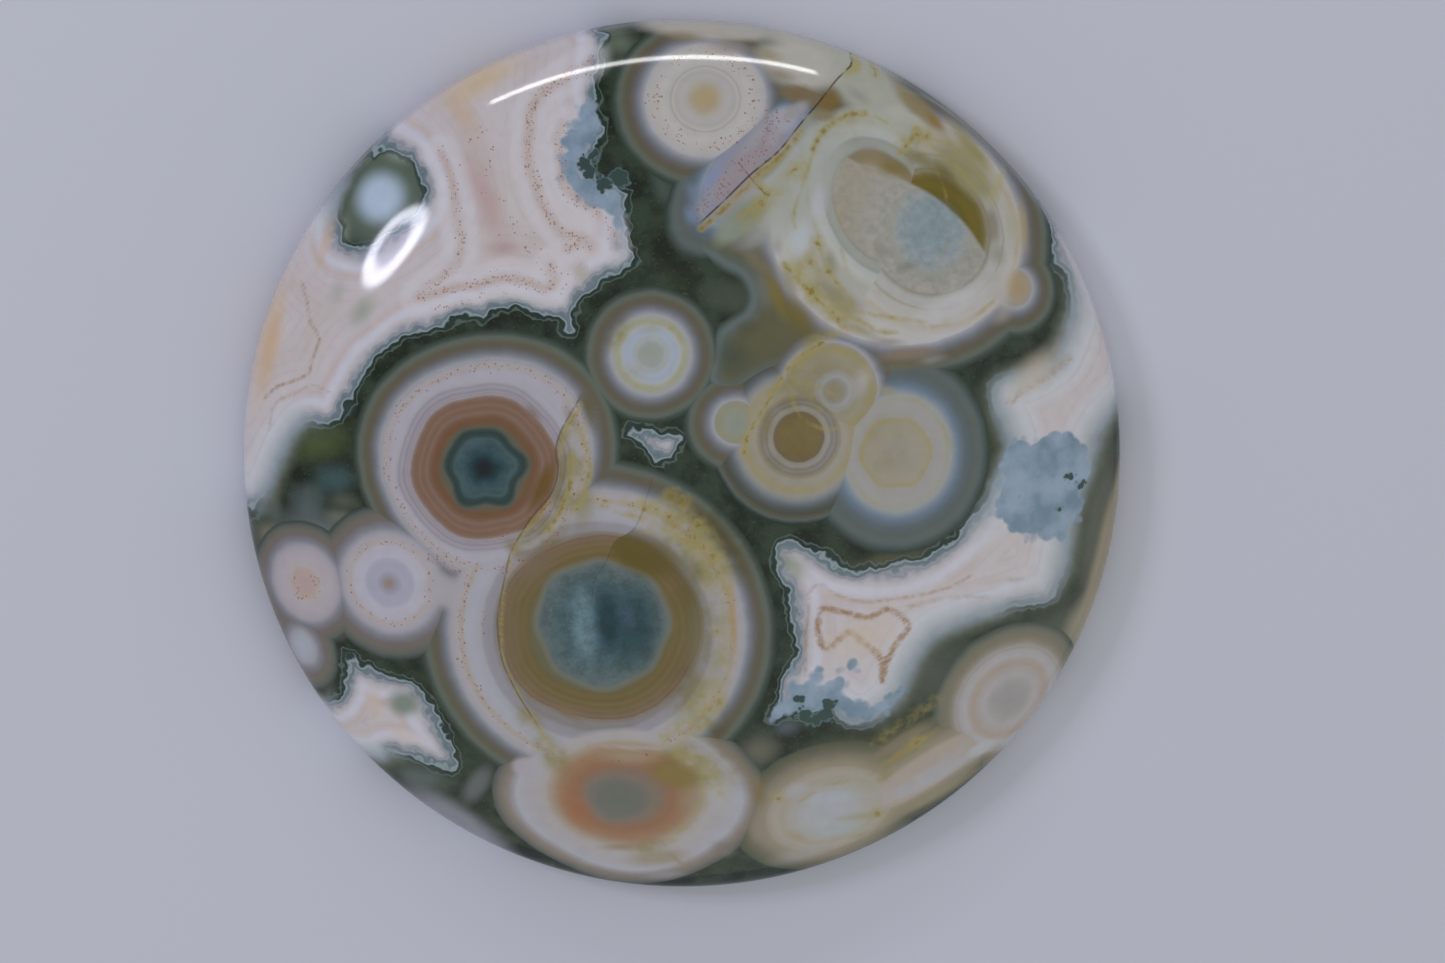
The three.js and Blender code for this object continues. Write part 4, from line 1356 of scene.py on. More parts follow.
    def fields(self, points: np.ndarray) -> dict[str, np.ndarray]:
        """Measure everything that the material reads.

        Args:
            points: the mesh's points in millimetres.

        Returns:
            One array for each field, by its name; a tint has four columns.
        """
        wobble = np.stack([sway(points, 3.2, seed) for seed in (11, 12)], axis=1)
        plan = self.seen_from_above(points) + 0.04 * wobble
        measured = {orb.name: self.radius_of(orb, points) for orb in self.orbs}
        for group in self.cores:
            measured.update({core.name: self.radius_of(core, points) for core in group})
        measured["agate"] = self.agate_depth(plan)
        measured["blue"] = self.deepest(BLUE, plan)
        measured["haze"] = self.deepest(HAZE, plan)
        measured["veil"] = Outline(MILKY_OUTLINE).inside(plan)
        measured["green_spots"] = self.in_spots(GREEN_SPOTS, plan)
        measured["yellow_blots"] = self.in_spots(YELLOW_BLOTS, plan)
        calm = [smooth(2.0 * patch.depth(plan)) for patch in CALM]
        measured["calm"] = np.maximum.reduce(calm)
        smoky = [smooth((limit - measured[name]) / 0.5) for name, limit in self.smoky_cores]
        measured["smoke"] = np.maximum.reduce(smoky)
        gaps = [Outline(seam.course, closed=False).measure(plan)[0] for seam in RED_SEAMS[:5]]
        measured["seam_gap"] = np.minimum.reduce(gaps)
        measured["red_dots"] = np.maximum(
            self.seam_amount(RED_SEAMS + LILAC_SEAMS, plan), self.ring_amount("red", points)
        )
        measured["yellow_stain"] = np.maximum(
            self.seam_amount(YELLOW_SEAMS, plan), self.ring_amount("yellow", points)
        )
        measured["tan_seams"] = self.seam_amount(TAN_SEAMS, plan)
        for crack in FRACTURES:
            gap, side, along = Outline(crack.course, closed=False).measure(plan)
            measured[crack.name] = gap * side
            left = crack.shown - along
            fade = self.crack_fade
            measured[crack.name + "_ends"] = smooth(along / fade) * smooth(left / fade)
        measured["ground_tint"] = self.blended(list(GROUND_CLOUDS), plan)
        for side in sides_of(CLOUDS):
            kept = [cloud for cloud in CLOUDS if cloud.side == side]
            measured[side_name("tint", side)] = self.blended(kept, plan)
        for side in sides_of(AMBER):
            kept = [wash.weight(plan) for wash in AMBER if wash.side == side]
            measured[side_name("amber", side)] = np.maximum.reduce(kept)
        return measured


def sides_of(patches: tuple[Cloud, ...] | tuple[Wash, ...]) -> list[Side | None]:
    """List the sides of cracks that some patches keep to, each once."""
    return list(dict.fromkeys(patch.side for patch in patches))


def side_name(kind: str, side: Side | None) -> str:
    """Name the field of the patches of a kind that keep to a side of a crack.

    Args:
        kind: tint or amber.
        side: a crack and a side of it, or None for both sides.

    Returns:
        The field's name.
    """
    if side is None:
        return kind
    return f"{kind}_{side[0]}_{'left' if side[1] > 0 else 'right'}"


Socket = bpy.types.NodeSocket
Feed = bpy.types.NodeSocket | float


@dataclass
class NodeBench:
    """Places and joins the nodes of one material or group."""

    tree: bpy.types.NodeTree
    placed: int = field(default=0)

    def node(self, kind: str, **settings: object) -> bpy.types.Node:
        """Place a node of a kind and give it its settings.

        Args:
            kind: the type name of the node.
            settings: its settings, by name.

        Returns:
            The node.
        """
        made = self.tree.nodes.new(kind)
        made.location = (220 * (self.placed // 8), -180 * (self.placed % 8))
        self.placed += 1
        for name, value in settings.items():
            setattr(made, name, value)
        return made

    def feed(self, target: Socket, value: Feed) -> None:
        """Join a socket to a target, or set the target to a number.

        Args:
            target: an input of a node.
            value: a socket or a number.
        """
        if isinstance(value, bpy.types.NodeSocket):
            self.tree.links.new(value, target)
        else:
            target.default_value = value

    def field(self, name: str) -> Socket:
        """Read one of the stone's measured fields as a number."""
        return self.node("ShaderNodeAttribute", attribute_name=name).outputs["Fac"]

    def math(self, how: str, first: Feed, second: Feed = 0.0, third: Feed = 0.0) -> Socket:
        """Work out one sum and return its socket.

        Args:
            how: the name of the sum.
            first, second, third: its values, as far as it has them.

        Returns:
            The socket of the result.
        """
        made = self.node("ShaderNodeMath", operation=how)
        for index, value in enumerate((first, second, third)):
            self.feed(made.inputs[index], value)
        return made.outputs[0]

    def plus(self, first: Feed, second: Feed) -> Socket:
        """Add two values."""
        return self.math("ADD", first, second)

    def minus(self, first: Feed, second: Feed) -> Socket:
        """Take the second value from the first."""
        return self.math("SUBTRACT", first, second)

    def times(self, first: Feed, second: Feed) -> Socket:
        """Multiply two values."""
        return self.math("MULTIPLY", first, second)

    def line(self, value: Feed, slope: Feed, start: Feed) -> Socket:
        """Multiply a value by a slope and add a start."""
        return self.math("MULTIPLY_ADD", value, slope, start)

    def scale(self, colour: Socket, amount: Feed) -> Socket:
        """Multiply a colour or a place by an amount.

        Args:
            colour: the colour or place.
            amount: what it is multiplied by.

        Returns:
            The socket of the result.
        """
        made = self.node("ShaderNodeVectorMath", operation="SCALE")
        self.feed(made.inputs[0], colour)
        self.feed(made.inputs["Scale"], amount)
        return made.outputs[0]

    def ease(self, value: Feed, low: float, high: float) -> Socket:
        """Ease a value from 0 at low to 1 at high.

        Args:
            value: the value.
            low: where the result is 0.
            high: where it is 1, which may be below low.

        Returns:
            The eased value.
        """
        made = self.node("ShaderNodeMapRange", interpolation_type="SMOOTHSTEP")
        self.feed(made.inputs["Value"], value)
        rising = low <= high
        made.inputs["From Min"].default_value = min(low, high)
        made.inputs["From Max"].default_value = max(low, high)
        made.inputs["To Min"].default_value = 0.0 if rising else 1.0
        made.inputs["To Max"].default_value = 1.0 if rising else 0.0
        return made.outputs["Result"]

    def mix(self, share: Feed, first: Socket | Colour, second: Socket | Colour, how: str = "MIX") -> Socket:
        """Mix two colours by a share and return the mixed colour.

        Args:
            share: 0 gives the first colour, and 1 the second.
            first, second: the colours.
            how: the name of the way of mixing.

        Returns:
            The mixed colour.
        """
        made = self.node("ShaderNodeMix", data_type="RGBA", blend_type=how)
        self.feed(made.inputs["Factor"], share)
        for socket, value in ((made.inputs[6], first), (made.inputs[7], second)):
            if isinstance(value, bpy.types.NodeSocket):
                self.tree.links.new(value, socket)
            else:
                socket.default_value = (*value, 1.0)
        return made.outputs[2]

    def noise(self, place: Socket, per_mm: float, detail: float = 2.0) -> Socket:
        """Return a soft random value from 0 to 1 that changes with the place.

        Args:
            place: the place in the stone, in millimetres.
            per_mm: how many waves lie along a millimetre.
            detail: how many times finer waves are added.

        Returns:
            The value.
        """
        made = self.node("ShaderNodeTexNoise")
        made.inputs["Scale"].default_value = per_mm
        made.inputs["Detail"].default_value = detail
        self.tree.links.new(place, made.inputs["Vector"])
        return made.outputs["Fac"]

    def cells(self, place: Socket, per_mm: float) -> tuple[Socket, Socket]:
        """Return the distance to the nearest random point, and that point's random colour.

        Args:
            place: the place in the stone, in millimetres.
            per_mm: how many points lie along a millimetre.

        Returns:
            The distance, in the steps between points, and the colour.
        """
        made = self.node("ShaderNodeTexVoronoi", feature="F1")
        made.inputs["Scale"].default_value = per_mm
        self.tree.links.new(place, made.inputs["Vector"])
        return made.outputs["Distance"], made.outputs["Color"]

    def ramp(self, value: Feed, stops: list[Stop] | tuple[Stop, ...]) -> tuple[Socket, Socket]:
        """Colour by a value.

        Args:
            value: the value.
            stops: value, seen colour and cover of each stop, in order.

        Returns:
            The colour and the cover.
        """
        low, high = stops[0][0], stops[-1][0]
        made = self.node("ShaderNodeValToRGB")
        elements = made.color_ramp.elements
        while len(elements) < len(stops):
            elements.new(1.0)
        for element, (spot, seen, cover) in zip(elements, stops):
            element.position = (spot - low) / (high - low)
            element.color = (*stone_colour(seen), cover)
        share = self.math("SUBTRACT", value, low) if low else value
        self.feed(made.inputs["Fac"], self.math("DIVIDE", share, high - low))
        return made.outputs["Color"], made.outputs["Alpha"]


@dataclass(frozen=True)
class JasperFinish:
    """The polished jasper: how its measured fields become colour and gloss.

    Attributes:
        polish: roughness of the polished face.
        ground: roughness of the ground back.
        refraction: index of the stone, which sets how strongly the polish reflects.
        amber: what the clear yellow stain leaves of the linear colour under it.
    """

    polish: float = 0.06
    ground: float = 0.42
    refraction: float = 1.54
    amber: Colour = (0.71, 0.665, 0.37)

    def overlay_group(self) -> bpy.types.NodeTree:
        """Build the group that lets the nearer of two orbs show.

        Returns:
            A group that takes the colour, cover and nearness found so far and those of one more
            orb, and gives back those of whichever is nearer, with a narrow soft joint.
        """
        group = bpy.data.node_groups.new("nearer orb", "ShaderNodeTree")
        face = group.interface
        for name, kind in (
            ("Colour", "NodeSocketColor"), ("Cover", "NodeSocketFloat"),
            ("Nearness", "NodeSocketFloat"),
        ):
            face.new_socket(name=name, in_out="INPUT", socket_type=kind)
            face.new_socket(name="Orb " + name, in_out="INPUT", socket_type=kind)
            face.new_socket(name=name, in_out="OUTPUT", socket_type=kind)
        bench = NodeBench(group)
        given = bench.node("NodeGroupInput").outputs
        result = bench.node("NodeGroupOutput").inputs
        lead = bench.minus(given["Nearness"], given["Orb Nearness"])
        share = bench.ease(lead, -0.05, 0.05)
        bench.feed(result["Colour"], bench.mix(share, given["Colour"], given["Orb Colour"]))
        cover = bench.node("ShaderNodeMix", data_type="FLOAT")
        bench.feed(cover.inputs["Factor"], share)
        bench.feed(cover.inputs[2], given["Cover"])
        bench.feed(cover.inputs[3], given["Orb Cover"])
        bench.feed(result["Cover"], cover.outputs[0])
        bench.feed(result["Nearness"], bench.math("MINIMUM", given["Nearness"], given["Orb Nearness"]))
        return group

    def haze_body(self, bench: NodeBench) -> list[Socket]:
        """Make the brown-grey body that fills the gap between orbs.

        Its nearness is 0.45 inside, so that orbs show over it up to the middle of their skins, and
        rises across its pale border.

        Args:
            bench: where the nodes go.

        Returns:
            Its colour, cover and nearness.
        """
        depth = bench.field("haze")
        colour, cover = bench.ramp(depth, (
            (-0.35, (62, 71, 64), 0.0), (-0.16, (68, 77, 72), 1.0), (0.04, (86, 97, 97), 1.0),
            (0.20, (89, 98, 97), 1.0), (0.40, (84, 90, 84), 1.0), (0.80, (86, 84, 68), 1.0),
            (2.20, (88, 86, 65), 1.0),
        ))
        rise = bench.math("DIVIDE", bench.minus(0.42, depth), 0.55)
        nearness = bench.line(bench.math("MAXIMUM", rise, 0.0), 0.55, 0.45)
        return [colour, cover, nearness]

    def ball_layer(
        self,
        bench: NodeBench,
        group: bpy.types.NodeTree,
        orbs: tuple[Orb, ...],
        under: Socket,
        unsteady: Socket,
        found: list[Socket],
    ) -> Socket:
        """Lay a group of orbs over a colour, each showing where it is the nearest.

        Args:
            bench: where the nodes go.
            group: the group that picks the nearer orb.
            orbs: the orbs.
            under: the colour below them.
            unsteady: small random shift of their bands.
            found: colour, cover and nearness of a body that vies with them, or nothing.

        Returns:
            The colour with the orbs on it.
        """
        for orb in orbs:
            radius = bench.plus(bench.field(orb.name), unsteady)
            stops = orb.stops()
            colour, cover = bench.ramp(radius, stops)
            nearness = bench.math("DIVIDE", bench.minus(radius, orb.white), orb.skin_width)
            if not found:
                found = [colour, cover, nearness]
                continue
            joint = bench.node("ShaderNodeGroup", node_tree=group)
            for name, value in zip(("Colour", "Cover", "Nearness"), found):
                bench.feed(joint.inputs[name], value)
            for name, value in zip(("Colour", "Cover", "Nearness"), (colour, cover, nearness)):
                bench.feed(joint.inputs["Orb " + name], value)
            found = [joint.outputs[name] for name in ("Colour", "Cover", "Nearness")]
        return bench.mix(found[1], under, found[0])

    def ground_layer(self, bench: NodeBench, place: Socket) -> Socket:
        """Make the mottled dark green ground, with its own soft tints.

        Args:
            bench: where the nodes go.
            place: the place in the stone, in millimetres.

        Returns:
            The ground's colour.
        """
        mottle = bench.ease(bench.noise(place, 0.8, 6.0), 0.35, 0.68)
        green = bench.mix(mottle, Hue.GROUND_DARK.stone(), Hue.GROUND_LIGHT.stone())
        mossy = bench.ease(bench.noise(place, 0.22, 3.0), 0.52, 0.72)
        green = bench.mix(bench.times(mossy, 0.4), green, Hue.GROUND_MOSS.stone())
        tint = bench.node("ShaderNodeAttribute", attribute_name="ground_tint")
        green = bench.mix(tint.outputs["Alpha"], green, tint.outputs["Color"])
        grain = bench.ease(bench.noise(place, 7.0, 2.0), 0.58, 0.8)
        return bench.mix(bench.times(grain, 0.35), green, Hue.GROUND_GRAIN.stone())

    def agate_layer(self, bench: NodeBench, place: Socket, under: Socket, unsteady: Socket) -> Socket:
        """Lay the white agate over the ground, its edge scalloped by the green's small balls.

        Args:
            bench: where the nodes go.
            place: the place in the stone, in millimetres.
            under: the colour below.
            unsteady: small random shift of its bands.

        Returns:
            The colour with the agate on it.
        """
        plain = bench.field("agate")
        lively = bench.line(bench.field("calm"), -0.75, 1.0)
        large, _ = bench.cells(place, 0.62)
        small, _ = bench.cells(place, 1.9)
        large = bench.times(bench.line(large, 0.62, -0.3), lively)
        large = bench.times(large, bench.ease(plain, 0.9, -0.1))
        small = bench.times(bench.line(small, 0.36, -0.16), lively)
        small = bench.times(small, bench.ease(plain, 0.8, 0.1))
        depth = bench.plus(bench.plus(large, small), plain)
        depth = bench.plus(depth, unsteady)
        colour, cover = bench.ramp(depth, (
            (-0.60, (40, 50, 44), 0.0), (-0.36, (46, 56, 50), 0.0), (-0.32, (84, 95, 92), 0.75),
            (-0.27, (84, 95, 92), 0.75), (-0.22, (44, 56, 52), 0.5), (-0.07, (46, 58, 58), 0.7),
            (-0.02, (120, 132, 138), 1.0), (0.05, (124, 136, 142), 1.0), (0.10, (92, 104, 112), 1.0),
            (0.24, (106, 115, 124), 1.0), (0.31, (138, 139, 147), 1.0), (0.37, (126, 128, 138), 1.0),
            (0.46, (150, 148, 156), 1.0), (0.60, (166, 161, 167), 1.0), (0.80, (176, 173, 184), 1.0),
            (1.08, (176, 173, 185), 1.0), (1.20, (171, 162, 165), 1.0), (1.35, (169, 157, 157), 1.0),
            (1.60, (173, 166, 171), 1.0), (2.30, (172, 164, 167), 1.0), (3.20, (170, 161, 162), 1.0),
            (4.40, (174, 167, 170), 1.0),
        ))
        soft, soft_cover = bench.ramp(depth, (
            (-1.00, (70, 76, 66), 0.0), (-0.75, (78, 82, 72), 0.45), (-0.50, (88, 93, 85), 0.8),
            (-0.30, (100, 108, 108), 1.0), (-0.15, (111, 120, 125), 1.0), (0.0, (124, 133, 141), 1.0),
            (0.20, (138, 145, 153), 1.0), (0.40, (152, 156, 163), 1.0), (0.60, (163, 164, 171), 1.0),
            (0.90, (172, 172, 180), 1.0), (1.20, (174, 172, 178), 1.0), (1.60, (173, 166, 170), 1.0),
            (2.30, (173, 166, 168), 1.0), (3.20, (171, 163, 163), 1.0), (4.40, (174, 168, 170), 1.0),
        ))
        calm = bench.field("calm")
        colour = bench.mix(calm, colour, soft)
        cover = bench.line(bench.minus(soft_cover, cover), calm, cover)
        flow = bench.math("SINE", bench.times(depth, 13.0))
        faint = bench.ease(bench.times(flow, bench.noise(place, 0.5, 2.0)), 0.1, 0.8)
        deep = bench.times(faint, bench.ease(depth, 0.5, 0.9))
        colour = bench.mix(bench.times(deep, 0.35), colour, stone_colour((160, 150, 152)))
        beside = bench.math("ABSOLUTE", bench.minus(bench.field("seam_gap"), 0.6))
        beside = bench.times(bench.ease(beside, 0.55, 0.1), 0.5)
        colour = bench.mix(beside, colour, Hue.SEAM_WHITE.stone())
        tan = bench.times(bench.field("tan_seams"), bench.noise(place, 3.4, 5.0))
        colour = bench.mix(bench.ease(tan, 0.06, 0.62), colour, Hue.TAN_SEAM.stone())
        return bench.mix(cover, under, colour)

    def blue_layer(self, bench: NodeBench, place: Socket, under: Socket) -> Socket:
        """Lay the clear blue-grey patches over the agate, with the green bodies in them.

        Args:
            bench: where the nodes go.
            place: the place in the stone, in millimetres.
            under: the colour below.

        Returns:
            The colour with the patches on it.
        """
        lumps, _ = bench.cells(place, 1.6)
        depth = bench.plus(bench.field("blue"), bench.line(lumps, -0.7, 0.35))
        cover = bench.ease(depth, -0.12, 0.22)
        tone = bench.mix(
            bench.ease(bench.noise(place, 0.7, 3.0), 0.3, 0.7),
            stone_colour((102, 120, 136)), stone_colour((130, 144, 162)),
        )
        colour = bench.mix(cover, under, tone)
        warp, _ = bench.cells(place, 3.5)
        spots = bench.plus(bench.field("green_spots"), bench.line(warp, -0.35, 0.14))
        halo = bench.ease(spots, -0.12, 0.0)
        colour = bench.mix(bench.times(halo, 0.6), colour, stone_colour((96, 114, 122)))
        return bench.mix(bench.ease(spots, -0.02, 0.06), colour, stone_colour((56, 70, 68)))

    def milky_layer(self, bench: NodeBench, place: Socket, under: Socket) -> Socket:
        """Lay a milky grey cover over the lower part of the heart.

        Args:
            bench: where the nodes go.
            place: the place in the stone, in millimetres.
            under: the colour below.

        Returns:
            The colour with the veil on it.
        """
        mottle = bench.noise(place, 2.6, 4.0)
        left = bench.minus(2.35, bench.field("heart_left"))
        right = bench.minus(3.3, bench.field("heart_right"))
        inside = bench.ease(bench.math("MAXIMUM", left, right), -0.05, 0.2)
        below = bench.ease(bench.field("veil"), -0.10, 0.12)
        cover = bench.times(bench.times(inside, below), 0.94)
        blotchy = bench.line(mottle, 1.2, -0.6)
        colour, _ = bench.ramp(bench.plus(bench.field("heart_right"), blotchy), (
            (0.0, (122, 134, 141), 1.0), (1.0, (123, 135, 142), 1.0), (1.5, (127, 137, 143), 1.0),
            (1.8, (133, 140, 144), 1.0), (2.0, (139, 141, 141), 1.0), (2.3, (138, 137, 132), 1.0),
            (3.2, (144, 141, 137), 1.0), (4.2, (141, 136, 127), 1.0), (6.0, (140, 134, 124), 1.0),
        ))
        grained = bench.scale(colour, bench.line(mottle, 0.5, 0.75))
        return bench.mix(cover, under, grained)

    def dot_layer(self, bench: NodeBench, place: Socket, under: Socket) -> Socket:
        """Scatter small red-brown dots where the red field is full enough.

        Args:
            bench: where the nodes go.
            place: the place in the stone, in millimetres.
            under: the colour below.

        Returns:
            The colour with the dots on it.
        """
        full = bench.field("red_dots")
        blush = bench.times(full, bench.noise(place, 1.4, 4.0))
        colour = bench.mix(bench.times(blush, 0.6), under, Hue.RED_BLUSH.stone())
        for per_mm, size in ((9.0, 0.36), (5.0, 0.26)):
            distance, random = bench.cells(place, per_mm)
            parts = bench.node("ShaderNodeSeparateColor")
            bench.feed(parts.inputs["Color"], random)
            chosen = bench.math("LESS_THAN", parts.outputs["Red"], full)
            radius = bench.line(parts.outputs["Green"], size, 0.4 * size)
            dot = bench.ease(bench.minus(distance, radius), 0.08, -0.08)
            share = bench.times(bench.times(dot, chosen), 0.62)
            colour = bench.mix(share, colour, Hue.RED_DOT.stone())
        return colour

    def stain_layer(self, bench: NodeBench, place: Socket, under: Socket) -> Socket:
        """Let olive-yellow stain creep where the yellow field and a noise are both strong.

        Args:
            bench: where the nodes go.
            place: the place in the stone, in millimetres.
            under: the colour below.

        Returns:
            The colour with the stain on it.
        """
        amount = bench.field("yellow_stain")
        creep = bench.times(amount, bench.times(bench.noise(place, 2.4, 4.0), 2.0))
        wash = bench.times(bench.ease(creep, 0.15, 0.9), 0.6)
        colour = bench.mix(wash, under, Hue.YELLOW_WASH.stone())
        spots = bench.ease(creep, 0.7, 1.25)
        ragged = bench.line(bench.noise(place, 3.2, 4.0), 0.7, -0.35)
        blots = bench.plus(bench.field("yellow_blots"), ragged)
        glow = bench.times(bench.ease(blots, -0.45, 0.1), 0.45)
        colour = bench.mix(glow, colour, Hue.YELLOW_WASH.stone())
        spots = bench.math("MAXIMUM", spots, bench.ease(blots, -0.02, 0.2))
        return bench.mix(bench.times(spots, 0.7), colour, Hue.YELLOW_SPOT.stone())

    def smoke_layer(self, bench: NodeBench, place: Socket, under: Socket) -> Socket:
        """Fill the clear blue cores with wisps, lighter and darker than their own colour.

        Args:
            bench: where the nodes go.
            place: the place in the stone, in millimetres.
            under: the colour below.

        Returns:
            The colour with the wisps in it.
        """
        wisps = bench.ease(bench.noise(place, 1.5, 8.0), 0.34, 0.66)
        grain = bench.noise(place, 6.0, 4.0)
        bright = bench.line(wisps, 0.34, 0.62)
        bright = bench.plus(bright, bench.times(grain, 0.4))
        return bench.mix(bench.field("smoke"), under, bench.scale(under, bright))

    def crack_layer(self, bench: NodeBench, place: Socket, under: Socket) -> Socket:
        """Draw the healed cracks as thin dark lines that come and go.

        Args:
            bench: where the nodes go.
            place: the place in the stone, in millimetres.
            under: the colour below.

        Returns:
            The colour with the cracks on it.
        """
        colour = under
        broken = bench.ease(bench.noise(place, 1.7, 5.0), 0.26, 0.56)
        for crack in FRACTURES:
            gap = bench.math("ABSOLUTE", bench.field(crack.name))
            line = bench.ease(gap, 2.2 * crack.half_width, 0.4 * crack.half_width)
            share = bench.times(line, bench.field(crack.name + "_ends"))
            share = bench.times(share, bench.times(broken, crack.darkness))
            colour = bench.mix(share, colour, Hue.CRACK.stone())
        return colour

    def kept(self, bench: NodeBench, share: Socket, side: Side | None) -> Socket:
        """Cut a share off at a crack, if it keeps to one side of it.

        Args:
            bench: where the nodes go.
            share: the share.
            side: a crack and a side of it, or None for both sides.

        Returns:
            The share, nothing beyond the crack.
        """
        if side is None:
            return share
        crack, sign = side
        beyond = bench.ease(bench.field(crack), -0.02 * sign, 0.02 * sign)
        return bench.times(share, beyond)

    def patch_layers(self, bench: NodeBench, place: Socket, under: Socket) -> Socket:
        """Deepen the colours by the clear stain, and lay the tints over them.

        Args:
            bench: where the nodes go.
            place: the place in the stone, in millimetres.
            under: the colour below.

        Returns:
            The colour with both on it.
        """
        colour = under
        patchy = bench.ease(bench.noise(place, 0.9, 5.0), 0.36, 0.64)
        uneven = bench.line(patchy, 0.9, 0.55)
        for side in sides_of(AMBER):
            share = bench.times(bench.field(side_name("amber", side)), uneven)
            share = self.kept(bench, share, side)
            colour = bench.mix(share, colour, self.amber, "MULTIPLY")
        for side in sides_of(CLOUDS):
            tint = bench.node("ShaderNodeAttribute", attribute_name=side_name("tint", side))
            share = self.kept(bench, tint.outputs["Alpha"], side)
            colour = bench.mix(share, colour, tint.outputs["Color"])
        return colour

    def material(self, pattern: JasperPattern) -> bpy.types.Material:
        """Build the whole material.

        Args:
            pattern: the orbs and cores whose fields the mesh has.

        Returns:
            The polished jasper.
        """
        made = bpy.data.materials.new("polished_jasper")
        made.use_nodes = True
        tree = made.node_tree
        tree.nodes.clear()
        bench = NodeBench(tree)
        place = bench.scale(bench.node("ShaderNodeTexCoord").outputs["Object"], 1.0 / MM)

        slow = bench.line(bench.noise(place, 0.9, 2.0), 0.14, -0.07)
        unsteady = bench.line(bench.noise(place, 4.0, 2.0), 0.05, -0.025)
        unsteady = bench.plus(slow, unsteady)

        colour = self.ground_layer(bench, place)
        colour = self.agate_layer(bench, place, colour, unsteady)
        colour = self.blue_layer(bench, place, colour)
        group = self.overlay_group()
        haze = self.haze_body(bench)
        colour = self.ball_layer(bench, group, pattern.orbs, colour, unsteady, haze)
        for cores in pattern.cores:
            colour = self.ball_layer(bench, group, cores, colour, unsteady, [])
        colour = self.milky_layer(bench, place, colour)
        colour = self.patch_layers(bench, place, colour)
        colour = self.smoke_layer(bench, place, colour)
        colour = self.stain_layer(bench, place, colour)
        colour = self.dot_layer(bench, place, colour)
        colour = self.crack_layer(bench, place, colour)
        shaded = bench.scale(colour, bench.line(bench.noise(place, 1.6, 6.0), 0.16, 0.92))

        apart = bench.node("ShaderNodeSeparateXYZ")
        bench.feed(apart.inputs[0], place)
        dull = bench.ease(apart.outputs["Z"], 0.45, 0.05)
        gloss = bench.line(dull, self.ground - self.polish, self.polish)

        surface = bench.node("ShaderNodeBsdfPrincipled")
        bench.feed(surface.inputs["Base Color"], shaded)
        bench.feed(surface.inputs["Roughness"], gloss)
        surface.inputs["IOR"].default_value = self.refraction
        output = bench.node("ShaderNodeOutputMaterial")
        tree.links.new(surface.outputs["BSDF"], output.inputs["Surface"])
        return made


@dataclass
class Stone:
    """The finished stone: its form, its pattern and its finish."""

    form: CabochonForm = field(default_factory=CabochonForm)
    finish: JasperFinish = field(default_factory=JasperFinish)
    sharp_deg: float = 30.0

    def build(self) -> bpy.types.Object:
        """Make the stone's mesh, measure its pattern and dress it.

        Returns:
            The piece, which stands for the node of the same stone.
        """
        points, quads, strip, flat = self.form.mesh_arrays()
        mesh = bpy.data.meshes.new("jasper_cabochon")
        mesh.vertices.add(len(points))
        mesh.vertices.foreach_set("co", (points * MM).ravel())
        corners = np.concatenate((quads.ravel(), strip.ravel()))
        sides = np.concatenate((np.full(len(quads), 4), np.full(len(strip), 3)))
        mesh.loops.add(len(corners))
        mesh.loops.foreach_set("vertex_index", corners)
        mesh.polygons.add(len(sides))
        mesh.polygons.foreach_set("loop_start", np.concatenate(([0], np.cumsum(sides)[:-1])))
        mesh.update(calc_edges=True)
        mesh.validate()
        picture = mesh.uv_layers.new(name="OFBake")
        picture.data.foreach_set("uv", flat.ravel())
        mesh.shade_smooth()
        mesh.set_sharp_from_angle(angle=math.radians(self.sharp_deg))

        pattern = JasperPattern(self.form)
        for name, values in pattern.fields(points).items():
            if values.ndim == 1:
                layer = mesh.attributes.new(name, "FLOAT", "POINT")
                layer.data.foreach_set("value", values)
            else:
                layer = mesh.attributes.new(name, "FLOAT_COLOR", "POINT")
                layer.data.foreach_set("color", values.ravel())

        piece = bpy.data.objects.new("jasper_cabochon", mesh)
        bpy.context.collection.objects.link(piece)
        mesh.materials.append(self.finish.material(pattern))
        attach(piece, "root")
        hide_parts("stone")
        LOG.info("stone: %d points, %d faces", len(points), len(sides))
        return piece


